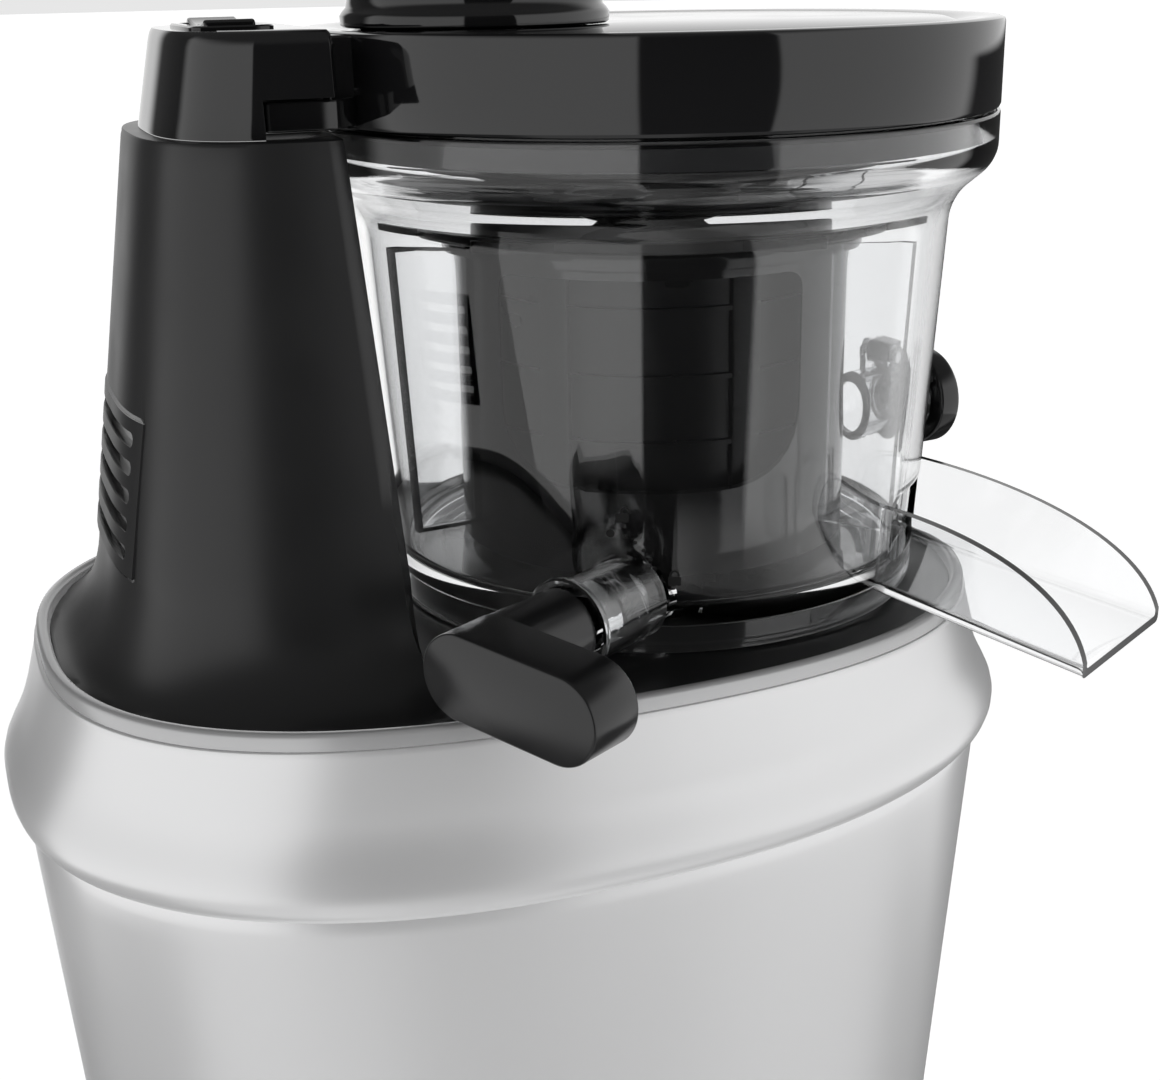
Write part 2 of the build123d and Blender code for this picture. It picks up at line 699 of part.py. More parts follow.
bowl_shell = revolved(bowl_outer)
bowl_hollow = revolved(bowl_inner)
nozzle_root = 40.0
spout_root = 50.0
nozzle_plane = axis_plane(lever_axis_angle, lever_z, nozzle_root, lever_offset)
spout_plane = axis_plane(spout_angle, spout_z, spout_root)
spout_out = Vector(cos(radians(spout_angle)), sin(radians(spout_angle)), 0)
spout_side = Vector(sin(radians(spout_angle)), -cos(radians(spout_angle)), 0)
cap_pin_point = Vector(bowl_x, 0, spout_z + 11.6) + spout_out * (spout_end - 3.2)
cap_pin_plane = Plane(origin=cap_pin_point, x_dir=spout_out, z_dir=spout_side)

nozzle_bore = stem_radius + running
spout_bore = spout_radius - 2.2
with BuildPart() as juice_bowl:
    add(bowl_shell)
    add(bowl_hollow, mode=Mode.SUBTRACT)
    with Locations((bowl_x, 0, bowl_bottom_z - 1)):
        Cylinder(55.4, bowl_floor_z - bowl_bottom_z + 1, align=(Align.CENTER, Align.CENTER, Align.MIN), mode=Mode.SUBTRACT)
    with Locations((bowl_x, 0, bowl_floor_z)):
        Cylinder(11.2, 5.0, align=(Align.CENTER, Align.CENTER, Align.MIN))
        Cylinder(8.8, 20.0, mode=Mode.SUBTRACT)
    with BuildSketch(nozzle_plane):
        Circle(nozzle_bore)
    extrude(amount=40.0, mode=Mode.SUBTRACT)
    with BuildSketch(spout_plane):
        Circle(spout_bore)
    extrude(amount=40.0, mode=Mode.SUBTRACT)
    with BuildSketch(axis_plane(chute_angle, bowl_inner_z + 7.5, 40.0, chute_offset)):
        RectangleRounded(28.0, 15.0, 4.0)
    extrude(amount=40.0, mode=Mode.SUBTRACT)
finish(juice_bowl, "juice_bowl")

with BuildPart() as lever_nozzle:
    with BuildSketch(nozzle_plane):
        Circle(nozzle_radius)
    extrude(amount=nozzle_end - nozzle_root)
    with BuildSketch(axis_plane(lever_axis_angle, lever_z, nozzle_end, lever_offset)):
        Circle(nozzle_radius + 1.2)
    extrude(amount=-2.4)
    add(bowl_shell, mode=Mode.SUBTRACT)
    with BuildSketch(nozzle_plane):
        Circle(nozzle_bore)
    extrude(amount=40.0, mode=Mode.SUBTRACT)
finish(lever_nozzle, "lever_nozzle")

with BuildPart() as juice_spout:
    with BuildSketch(spout_plane):
        Circle(spout_radius)
    extrude(amount=spout_end - spout_root)
    for side in (1, -1):
        with BuildSketch(cap_pin_plane.offset(side * 5.2)):
            Circle(2.9)
            with Locations((0, -4.0)):
                Rectangle(5.8, 8.0)
        extrude(amount=side * 2.6)
    add(bowl_shell, mode=Mode.SUBTRACT)
    with BuildSketch(spout_plane):
        Circle(spout_bore)
    extrude(amount=40.0, mode=Mode.SUBTRACT)
    with BuildSketch(cap_pin_plane.offset(-20)):
        Circle(cap_pin_radius)
    extrude(amount=40.0, mode=Mode.SUBTRACT)
finish(juice_spout, "juice_spout")

chute_out = Vector(cos(radians(chute_angle)), sin(radians(chute_angle)), 0)
chute_side = Vector(-chute_out.Y, chute_out.X, 0)


def chute_profile_plane(half_width):
    """The vertical plane of one chute wall, x outwards and y up."""
    origin = Vector(bowl_x, 0, 0) + chute_side * (chute_offset + half_width)
    return Plane(origin=origin, x_dir=chute_out, z_dir=-chute_side)




def chute_floor_z(along):
    """Height of the underside of the chute at a distance from the bowl axis."""
    return chute_root_z - chute_drop * (along - bowl_foot_radius) / (chute_lip - bowl_foot_radius)


lip_z = chute_floor_z(chute_lip)
chute_inner_root = 30.0
chute_outer_root = 40.0
with BuildPart() as pulp_chute:
    with BuildSketch(chute_profile_plane(chute_half_width)):
        with BuildLine():
            Polyline(
                (chute_lip - 0.5, lip_z + 3.2),
                (chute_lip, lip_z),
                (chute_outer_root, chute_floor_z(chute_outer_root)),
                (chute_outer_root, chute_root_z + chute_wall_top + 2.0),
                (62.0, chute_root_z + chute_wall_top),
            )
            Spline(
                (62.0, chute_root_z + chute_wall_top),
                (91.0, chute_root_z + 11.3),
                (chute_lip - 0.5, lip_z + 3.2),
                tangents=((1, -0.16), (0.22, -1)),
            )
        make_face()
    extrude(amount=2 * chute_half_width)
    with BuildSketch(chute_profile_plane(chute_half_width - sheet)):
        with BuildLine():
            Polyline(
                (chute_lip + 5, chute_floor_z(chute_lip + 5) + sheet),
                (chute_inner_root, chute_floor_z(chute_inner_root) + sheet),
                (chute_inner_root, chute_root_z + 60),
                (chute_lip + 5, chute_root_z + 60),
                (chute_lip + 5, chute_floor_z(chute_lip + 5) + sheet),
            )
        make_face()
    extrude(amount=2 * (chute_half_width - sheet), mode=Mode.SUBTRACT)
    add(bowl_shell, mode=Mode.SUBTRACT)
finish(pulp_chute, "pulp_chute")

with BuildPart() as cap_hinge_pin:
    with BuildSketch(cap_pin_plane.offset(-8.4)):
        Circle(cap_pin_radius - 0.02)
    extrude(amount=16.8)
finish(cap_hinge_pin, "cap_hinge_pin")

cap_face = axis_plane(spout_angle, spout_z, spout_end + gap)
with BuildPart() as juice_cap:
    with BuildSketch(cap_face):
        Circle(juice_cap_radius)
    extrude(amount=juice_cap_thick)
    with BuildSketch(cap_pin_plane.offset(-4.8)):
        Circle(2.9)
        with Locations((2.6, 0)):
            Rectangle(5.2, 5.8)
    extrude(amount=9.6)
    with BuildSketch(cap_pin_plane.offset(-20)):
        Circle(cap_pin_radius + running)
    extrude(amount=40.0, mode=Mode.SUBTRACT)
finish(juice_cap, "juice_cap")

with BuildPart() as juice_cap_plug:
    with BuildSketch(cap_face):
        Circle(spout_radius - 3.2)
        Circle(spout_radius - 5.0, mode=Mode.SUBTRACT)
    extrude(amount=-2.4)
finish(juice_cap_plug, "juice_cap_plug")

with BuildPart() as idler_pin:
    with Locations((bowl_x, idler_distance, bowl_inner_z)):
        Cylinder(3.0, 10.6, align=(Align.CENTER, Align.CENTER, Align.MIN))
finish(idler_pin, "idler_pin")

with BuildPart() as bowl_floor_seal:
    with BuildSketch(Plane.XY.offset(bowl_floor_z - 2.4)):
        with Locations((bowl_x, 0)):
            Circle(16.0)
            Circle(drive_radius + 0.6, mode=Mode.SUBTRACT)
    extrude(amount=2.3)
finish(bowl_floor_seal, "bowl_floor_seal")

# ------------------------------------------------------------------ lever on the left-hand nozzle
lever_plane = axis_plane(lever_axis_angle, lever_z, lever_front, lever_offset)
with BuildPart() as control_lever:
    with BuildSketch(lever_plane):
        Circle(lever_half_height)
        with PolarLocations(lever_arm - lever_half_height, 1, lever_rest_tilt):
            Circle(lever_half_height)
        make_hull()
    extrude(amount=-lever_depth)
    with BuildSketch(lever_plane.offset(-lever_depth)):
        Circle(nozzle_radius - 0.2)
    extrude(amount=-(lever_front - lever_depth - nozzle_end - gap))
finish(control_lever, "control_lever")

with BuildPart() as lever_plug:
    with BuildSketch(axis_plane(lever_axis_angle, lever_z, nozzle_end + gap, lever_offset)):
        Circle(stem_radius)
    extrude(amount=-(nozzle_end + gap - plug_root))
finish(lever_plug, "lever_plug")

# ------------------------------------------------------------------ squeezing set
gear_top_z = brush_gear_z + brush_gear_width
with BuildPart() as auger_socket:
    with BuildSketch(Plane.XY.offset(brush_gear_z)):
        with Locations((bowl_x, 0)):
            Circle(10.0)
            RegularPolygon(drive_hex / 2 + 0.15, 6, major_radius=False, mode=Mode.SUBTRACT)
    extrude(amount=18.0)
finish(auger_socket, "auger_socket")

with BuildPart() as auger_gear:
    add(gear_disc(brush_module, auger_teeth, 0.0, (bowl_x, 0), brush_gear_z, brush_gear_width))
    with Locations((bowl_x, 0, brush_gear_z)):
        Cylinder(10.0, 60, mode=Mode.SUBTRACT)
finish(auger_gear, "auger_gear")

auger_flight_z = 204.0
auger_head_z = 262.0
with BuildPart() as auger:
    with Locations((bowl_x, 0, gear_top_z + 0.5)):
        Cylinder(18.0, auger_head_z - gear_top_z - 0.5, align=(Align.CENTER, Align.CENTER, Align.MIN))
    with BuildSketch(Plane.XY.offset(auger_flight_z)) as flight_section:
        with Locations((bowl_x, 0)):
            SlotOverall(2 * auger_radius, 8.0)
    twisted = Solid.extrude_linear_with_rotation(
        flight_section.sketch.faces()[0],
        center=(bowl_x, 0, auger_flight_z),
        normal=(0, 0, auger_head_z - auger_flight_z),
        angle=-300,
    )
    add(twisted)
    with Locations((bowl_x, 0, auger_head_z)):
        Cone(18.0, 5.0, 14.0, align=(Align.CENTER, Align.CENTER, Align.MIN))
        Cylinder(5.0, 29.0, align=(Align.CENTER, Align.CENTER, Align.MIN))
    with Locations((bowl_x, 0, gear_top_z)):
        Cylinder(10.0, 11.2, align=(Align.CENTER, Align.CENTER, Align.MIN), mode=Mode.SUBTRACT)
finish(auger, "auger")

idler_theta = radians(idler_angle)
idler_phase = idler_theta + pi + pi / idler_teeth + idler_theta * auger_teeth / idler_teeth
with BuildPart() as idler_gear:
    add(gear_disc(brush_module, idler_teeth, idler_phase, (bowl_x, idler_distance), brush_gear_z, brush_gear_width))
    with Locations((bowl_x, idler_distance, brush_gear_z)):
        Cylinder(3.0 + running, 60, mode=Mode.SUBTRACT)
finish(idler_gear, "idler_gear")

ring_phase = idler_theta + pi / ring_teeth + (idler_phase - idler_theta) * idler_teeth / ring_teeth
window_angles = (-114.0, 6.0, 126.0)
window_plane_height = 228.0
with BuildPart() as brush_frame:
    with BuildSketch(Plane.XY.offset(brush_gear_z)):
        with Locations((bowl_x, 0)):
            Circle(cage_radius)
            Polygon(*gear_points(brush_module, ring_teeth, ring_phase, internal=True), align=None, mode=Mode.SUBTRACT)
    extrude(amount=brush_gear_width)
    with BuildSketch(Plane.XY.offset(gear_top_z)):
        with Locations((bowl_x, 0)):
            Circle(cage_radius)
            Circle(cage_radius - 2.4, mode=Mode.SUBTRACT)
    extrude(amount=cage_top_z - gear_top_z)
    with BuildSketch(Plane.XY.offset(cage_top_z - 4.0)):
        with Locations((bowl_x, 0)):
            Circle(cage_radius + 2.0)
            Circle(cage_radius - 1.0, mode=Mode.SUBTRACT)
    extrude(amount=4.0)
    for angle in window_angles:
        with BuildSketch(axis_plane(angle, window_plane_height, 10.0)):
            RectangleRounded(62.0, 44.0, 13.0)
            with Locations((0, 8.0)):
                RectangleRounded(62.0, 28.0, 3.0)
        extrude(amount=60.0, mode=Mode.SUBTRACT)
finish(brush_frame, "brush_frame")

post_angles = [angle + 60.0 for angle in window_angles]
with BuildPart() as brush_wipers:
    for angle in post_angles:
        sideways = Vector(-sin(radians(angle)), cos(radians(angle)), 0)
        flap_origin = Vector(bowl_x, 0, 0) + sideways * (wiper_thick / 2)
        flap_out = Vector(cos(radians(angle)), sin(radians(angle)), 0)
        with BuildSketch(Plane(origin=flap_origin, x_dir=flap_out, z_dir=-sideways)):
            Polygon(
                (cage_radius - 0.1, wiper_low_z),
                (wiper_low_reach, wiper_low_z),
                (wiper_high_reach, wiper_high_z),
                (cage_radius - 0.1, wiper_high_z),
                align=None,
            )
        extrude(amount=wiper_thick)
finish(brush_wipers, "brush_wipers")

with BuildPart() as strainer_frame:
    with BuildSketch(Plane.XY.offset(strainer_low_z)):
        with Locations((bowl_x, 0)):
            Circle(strainer_radius)
            Circle(19.2, mode=Mode.SUBTRACT)
    extrude(amount=2.6)
    with BuildSketch(Plane.XY.offset(cage_top_z + 1.0)):
        with Locations((bowl_x, 0)):
            Circle(51.0)
            Circle(36.6, mode=Mode.SUBTRACT)
            with PolarLocations(0, 6, 36):
                Trapezoid(21.0, 24.0, 70, align=(Align.CENTER, Align.MIN), rotation=-90)
            Circle(36.6, mode=Mode.SUBTRACT)
    extrude(amount=3.0)
    with BuildSketch(Plane.XY.offset(254.0)):
        with Locations((bowl_x, 0)):
            Circle(strainer_radius)
            Circle(36.6, mode=Mode.SUBTRACT)
    extrude(amount=12.0)
    with BuildSketch(Plane.XY.offset(strainer_low_z)):
        with Locations((bowl_x, 0)):
            with PolarLocations(38.0, 6, 36):
                Rectangle(2.8, 7.0)
    extrude(amount=57.0)
finish(strainer_frame, "strainer_frame")

screen_low_z = strainer_low_z + 2.7
with BuildPart() as strainer_screen:
    with BuildSketch(Plane.XY.offset(screen_low_z)):
        with Locations((bowl_x, 0)):
            Circle(strainer_radius - 0.6)
            Circle(strainer_radius - 1.4, mode=Mode.SUBTRACT)
            with PolarLocations(38.0, 6, 36):
                Rectangle(6.0, 7.4, mode=Mode.SUBTRACT)
    extrude(amount=253.8 - screen_low_z)
finish(strainer_screen, "strainer_screen")

# ------------------------------------------------------------------ lid, feed chute and pusher
with BuildPart() as lid:
    add(revolved([(lid_radius, lid_bottom_z), (lid_radius, lid_top_z)]))
    add(
        revolved([(lid_radius - 2.6, lid_bottom_z - 1), (lid_radius - 2.6, lid_top_z - 3.0)]),
        mode=Mode.SUBTRACT,
    )
    with BuildSketch(Plane.XY.offset(273.0)):
        with Locations((bowl_x, 0)):
            Circle(68.6)
            Circle(66.2, mode=Mode.SUBTRACT)
    extrude(amount=lid_top_z - 1.0 - 273.0)
    with BuildSketch(Plane.XY.offset(279.0)):
        with Locations((bowl_x, 0)):
            Circle(9.0)
    extrude(amount=lid_top_z - 1.0 - 279.0)
    with BuildSketch(Plane.XY.offset(279.0)):
        with Locations((bowl_x, 0)):
            Circle(5.0 + running)
    extrude(amount=13.5, mode=Mode.SUBTRACT)
    with BuildSketch(Plane.XY.offset(lid_bottom_z)):
        Polygon((-39.7, -22.0), (-30.0, -22.0), (-30.0, -9.0), (-37.0, -9.0), (-39.7, -12.0), align=None)
    extrude(amount=lid_top_z - lid_bottom_z)
    with BuildSketch(Plane.XY.offset(lid_bottom_z + 0.8)):
        Polygon((-53.2, -28.0), (-53.2, -18.0), (-36.5, -18.0), (-36.5, -22.0), (-39.0, -28.0), align=None)
    extrude(amount=notch_height - 1.6)
    with BuildSketch(Plane.XY.offset(270.0)):
        with Locations((bowl_x, 0)):
            Circle(66.0)
            Circle(9.2, mode=Mode.SUBTRACT)
    extrude(amount=lid_top_z - 3.0 - 270.0, mode=Mode.SUBTRACT)
    with Locations((feed_x, 0, lid_top_z)):
        Cylinder(feed_bore, 30, mode=Mode.SUBTRACT)
    with Locations((-50.0, -23.0, lid_bottom_z + 3.4)):
        Cylinder(2.0, 2.0, mode=Mode.SUBTRACT)
finish(lid, "lid")

with BuildPart() as lid_magnet:
    with Locations((-50.0, -23.0, lid_bottom_z + 3.4)):
        Cylinder(1.95, 1.9)
finish(lid_magnet, "lid_magnet")

with BuildPart() as lid_seal:
    with BuildSketch(Plane.XY.offset(274.0)):
        with Locations((bowl_x, 0)):
            Circle(71.05)
            Circle(68.65, mode=Mode.SUBTRACT)
    extrude(amount=4.0)
finish(lid_seal, "lid_seal")

feed_plane = Plane(origin=(feed_x, 0, 0), x_dir=(1, 0, 0), z_dir=(0, -1, 0))
with BuildPart() as feed_chute:
    with BuildSketch(feed_plane):
        with BuildLine():
            Polyline(
                (feed_bore, lid_top_z + 0.1),
                (feed_radius + 1.6, lid_top_z + 0.1),
                (feed_radius + 1.6, lid_top_z + 3.0),
                (feed_radius, lid_top_z + 4.6),
                (feed_radius, feed_top_z - 16.0),
            )
            Spline(
                (feed_radius, feed_top_z - 16.0),
                (feed_radius + 2.6, feed_top_z - 6.0),
                (feed_mouth_radius, feed_top_z),
                tangents=((0, 1), (1, 0.45)),
            )
            Line((feed_mouth_radius, feed_top_z), (feed_mouth_radius - 2.0, feed_top_z + 1.4))
            Spline(
                (feed_mouth_radius - 2.0, feed_top_z + 1.4),
                (feed_bore + 2.6, feed_top_z - 5.0),
                (feed_bore, feed_top_z - 16.0),
                tangents=((-1, -0.45), (0, -1)),
            )
            Line((feed_bore, feed_top_z - 16.0), (feed_bore, lid_top_z + 0.1))
        make_face()
    revolve(axis=Axis((feed_x, 0, 0), (0, 0, 1)))
finish(feed_chute, "feed_chute")

with BuildPart() as pusher:
    with BuildSketch(Plane.XY.offset(pusher_low_z)):
        with Locations((feed_x, 0)):
            Circle(pusher_radius)
    extrude(amount=feed_top_z + 2.0 - pusher_low_z)
    with BuildSketch(Plane.XY.offset(feed_top_z + 2.0)):
        with Locations((feed_x, 0)):
            Circle(29.0)
    extrude(amount=5.0)
    with BuildSketch(Plane.XY.offset(feed_top_z + 7.0)):
        with Locations((feed_x, 0)):
            Circle(21.0)
    extrude(amount=pusher_top_z - feed_top_z - 7.0, taper=8)
    with Locations((feed_x, 0, pusher_low_z - 1)):
        Cylinder(pusher_radius - 2.4, 68.0, align=(Align.CENTER, Align.CENTER, Align.MIN), mode=Mode.SUBTRACT)
finish(pusher, "pusher")
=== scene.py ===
import json
from math import atan2, cos, pi, radians, sin

import bmesh
import bpy
from mathutils import Matrix, Vector


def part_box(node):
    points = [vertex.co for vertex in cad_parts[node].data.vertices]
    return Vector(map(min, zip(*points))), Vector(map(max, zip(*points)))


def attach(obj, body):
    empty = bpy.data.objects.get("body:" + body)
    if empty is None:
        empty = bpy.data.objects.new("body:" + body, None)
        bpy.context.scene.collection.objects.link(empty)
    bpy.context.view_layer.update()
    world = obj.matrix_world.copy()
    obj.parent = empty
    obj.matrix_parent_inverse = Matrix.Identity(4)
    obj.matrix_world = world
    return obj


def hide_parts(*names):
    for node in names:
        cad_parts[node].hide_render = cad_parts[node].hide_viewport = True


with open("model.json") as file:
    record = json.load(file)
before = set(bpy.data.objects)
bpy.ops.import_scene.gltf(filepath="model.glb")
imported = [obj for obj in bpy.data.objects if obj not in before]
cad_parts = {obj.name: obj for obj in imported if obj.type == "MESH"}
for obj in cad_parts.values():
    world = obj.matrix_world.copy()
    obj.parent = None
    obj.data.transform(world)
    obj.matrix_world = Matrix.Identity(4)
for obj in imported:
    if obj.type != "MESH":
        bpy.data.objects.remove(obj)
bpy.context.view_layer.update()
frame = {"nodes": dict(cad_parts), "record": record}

# ------------------------------------------------------------------ measures, all in millimetres
MM = 0.001
ROUND = 160                     # points round a full turn of a large piece


def node_box(node):
    """Lowest and highest corner of a CAD node, in millimetres."""
    low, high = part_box(node)
    return [c / MM for c in low], [c / MM for c in high]


def node_middle(node):
    """Centre of a CAD node's box, in millimetres."""
    low, high = node_box(node)
    return [(a + b) / 2 for a, b in zip(low, high)]


bowl_x = node_middle("drive_shaft")[0]
feed_x = node_middle("feed_chute")[0]
base_low = node_box("base_housing")[0]
rim_high = node_box("rim_trim")[1]
cap_low, cap_high = node_box("tower_cap")
bowl_high = node_box("juice_bowl")[1]
feed_low, feed_high = node_box("feed_chute")
pusher_low, pusher_high = node_box("pusher")
screen_low, screen_high = node_box("strainer_screen")
vent_low, vent_high = node_box("vent_grille")
bezel_middle = node_middle("switch_bezel")

bottom_z = base_low[2]
rim_z = rim_high[2]
rim_half_x = rim_high[0]
rim_half_y = rim_high[1]
rim_width = 2.6
deck_z = rim_z - 2.0
oval_power = 2.6
tower_power = 3.0
tower_corner = 2.2              # rounding of the tower's two inner corners
tower_foot_z = 198.0
tower_top_z = cap_low[2]
tower_foot = (-35.5, -87.6, 50.6)    # inner face x, outermost x, half width in y
tower_head = (-40.2, -74.8, 37.4)
cap_foot = (-40.2, -71.6, 34.6)
cap_head = (-40.2, -67.6, 32.0)
lid_radius = bowl_high[1]
lid_bottom_z = 280.0
lid_top_z = 298.0
lever_angle = 210.0
lever_offset = 32.0
lever_z = node_middle("lever_plug")[2]
lever_front = 102.0
lever_depth = 12.5
lever_tilt = radians(-5.0)      # the arm at rest hangs a little below the horizontal
nozzle_end = 71.4
spout_angle = 8.0
spout_z = 205.0
spout_end = 76.0
chute_angle = -60.0
chute_offset = 18.6
chute_half_width = 20.0
chute_lip = 107.0
chute_root_z = 180.6
chute_lip_z = 172.8
chute_start = 58.0              # ends of the curve that the chute walls' upper edge follows
chute_end = 106.6


# ------------------------------------------------------------------ mesh tools
def new_piece(name, points, faces):
    """A mesh object from points in millimetres, with its faces turned outwards."""
    mesh = bpy.data.meshes.new(name)
    mesh.from_pydata([tuple(c * MM for c in point) for point in points], [], faces)
    work = bmesh.new()
    work.from_mesh(mesh)
    bmesh.ops.remove_doubles(work, verts=work.verts, dist=1e-7)
    bmesh.ops.recalc_face_normals(work, faces=work.faces)
    work.to_mesh(mesh)
    work.free()
    obj = bpy.data.objects.new(name, mesh)
    bpy.context.scene.collection.objects.link(obj)
    return obj


def skin(name, rings, closed=False):
    """A surface through rings of equal length; the ends are capped, or joined if closed."""
    count = len(rings[0])
    points = [point for ring in rings for point in ring]
    faces = []
    steps = len(rings) if closed else len(rings) - 1
    for row in range(steps):
        below = row * count
        above = (row + 1) % len(rings) * count
        for column in range(count):
            side = (column + 1) % count
            faces.append((below + column, below + side, above + side, above + column))
    if not closed:
        faces.append(tuple(range(count)))
        faces.append(tuple(range(len(points) - count, len(points))))
    return new_piece(name, points, faces)


def lathe(name, profile, axis, closed=False, count=ROUND):
    """A turned piece from (radius, z) corners about the vertical line through axis = (x, y)."""
    rings = []
    for radius, z in profile:
        ring = []
        for i in range(count):
            angle = 2 * pi * i / count
            ring.append((axis[0] + radius * cos(angle), axis[1] + radius * sin(angle), z))
        rings.append(ring)
    return skin(name, rings, closed)


def soften(corners, radius, steps=5, closed=True):
    """The outline with its corners rounded by arcs; radius is one number, or one for each corner."""
    result = []
    count = len(corners)
    for i, corner in enumerate(corners):
        size = radius[i] if isinstance(radius, (list, tuple)) else radius
        if size == 0 or (not closed and i in (0, count - 1)):
            result.append(corner)
            continue
        here = Vector(corner)
        back = Vector(corners[i - 1]) - here
        ahead = Vector(corners[(i + 1) % count]) - here
        reach = min(size, back.length * 0.49, ahead.length * 0.49)
        start = here + back.normalized() * reach
        end = here + ahead.normalized() * reach
        for step in range(steps + 1):
            t = step / steps
            point = start * (1 - t) ** 2 + here * 2 * t * (1 - t) + end * t ** 2
            result.append(tuple(point))
    return result


def prism(name, outline, origin, across, up, depth):
    """A slab of the outline drawn on the across and up directions at origin, pushed by the depth vector."""
    across = Vector(across)
    up = Vector(up)
    near = [tuple(Vector(origin) + across * u + up * v) for u, v in outline]
    far = [tuple(Vector(point) + Vector(depth)) for point in near]
    return skin(name, [near, far])


def settle(obj):
    """Make the modifiers part of the mesh."""
    graph = bpy.context.evaluated_depsgraph_get()
    mesh = bpy.data.meshes.new_from_object(obj.evaluated_get(graph))
    obj.modifiers.clear()
    obj.data = mesh
    return obj


def combine(obj, other, operation):
    """Cut the other piece out of obj, or melt it into obj, and discard it."""
    modifier = obj.modifiers.new("combine", "BOOLEAN")
    modifier.operation = operation
    modifier.solver = "EXACT"
    modifier.object = other
    settle(obj)
    bpy.data.objects.remove(other)
    return obj


def cut(obj, other):
    """Cut the other piece out of obj."""
    return combine(obj, other, "DIFFERENCE")


def fuse(obj, other):
    """Melt the other piece into obj."""
    return combine(obj, other, "UNION")


def gather(obj, others):
    """Put other pieces' faces into obj as they are."""
    work = bmesh.new()
    work.from_mesh(obj.data)
    for other in others:
        work.from_mesh(other.data)
        bpy.data.objects.remove(other)
    work.to_mesh(obj.data)
    work.free()
    return obj


def break_edges(obj, width, segments=3, angle=32.0):
    """Round the sharp edges by width millimetres."""
    bevel = obj.modifiers.new("edges", "BEVEL")
    bevel.width = width * MM
    bevel.segments = segments
    bevel.limit_method = "ANGLE"
    bevel.angle_limit = radians(angle)
    bevel.harden_normals = False
    return obj


def dress(obj, body, skin_material, nodes=(), crease=35.0):
    """Give a finished piece its body and material, and hide the CAD nodes it stands for."""
    obj.data.materials.clear()
    obj.data.materials.append(skin_material)
    for polygon in obj.data.polygons:
        polygon.use_smooth = True
    obj.data.set_sharp_from_angle(angle=radians(crease))
    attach(obj, body)
    if nodes:
        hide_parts(*nodes)
    return obj


def oval_point(half_x, half_y, angle, power=oval_power):
    """A point of the superellipse with these half sizes."""
    c = cos(angle)
    s = sin(angle)
    reach = (abs(c) ** power + abs(s) ** power) ** (-1 / power)
    return half_x * reach * c, half_y * reach * s


def oval_ring(half_x, half_y, z):
    """One level ring of the base's oval."""
    ring = []
    for i in range(ROUND * 2):
        x, y = oval_point(half_x, half_y, pi * i / ROUND)
        ring.append((x, y, z))
    return ring


def between(table, z):
    """Values at height z from rows of (z, value, value, ...), on straight lines."""
    rows = sorted(table)
    if z <= rows[0][0]:
        return rows[0][1:]
    for low, high in zip(rows, rows[1:]):
        if z <= high[0]:
            t = (z - low[0]) / (high[0] - low[0])
            return tuple(a + (b - a) * t for a, b in zip(low[1:], high[1:]))
    return rows[-1][1:]


def from_bowl(angle, along, side, z):
    """A point placed outwards and to the left of the bowl axis in a horizontal direction."""
    a = radians(angle)
    return (bowl_x + cos(a) * along - sin(a) * side, sin(a) * along + cos(a) * side, z)


def outwards(angle):
    """The horizontal direction away from the bowl axis."""
    return Vector((cos(radians(angle)), sin(radians(angle)), 0))


def leftwards(angle):
    """The horizontal direction across outwards(angle)."""
    return Vector((-sin(radians(angle)), cos(radians(angle)), 0))


UP = Vector((0, 0, 1))


def rod(name, angle, side, z, start, end, radius, count=64):
    """A round bar pointing away from the bowl axis; radius is a number, or (along, radius) rows."""
    rows = radius if isinstance(radius, list) else [(start, radius), (end, radius)]
    rings = []
    for along, size in rows:
        ring = []
        for i in range(count):
            turn = 2 * pi * i / count
            ring.append(from_bowl(angle, along, side + size * cos(turn), z + size * sin(turn)))
        rings.append(ring)
    return skin(name, rings)


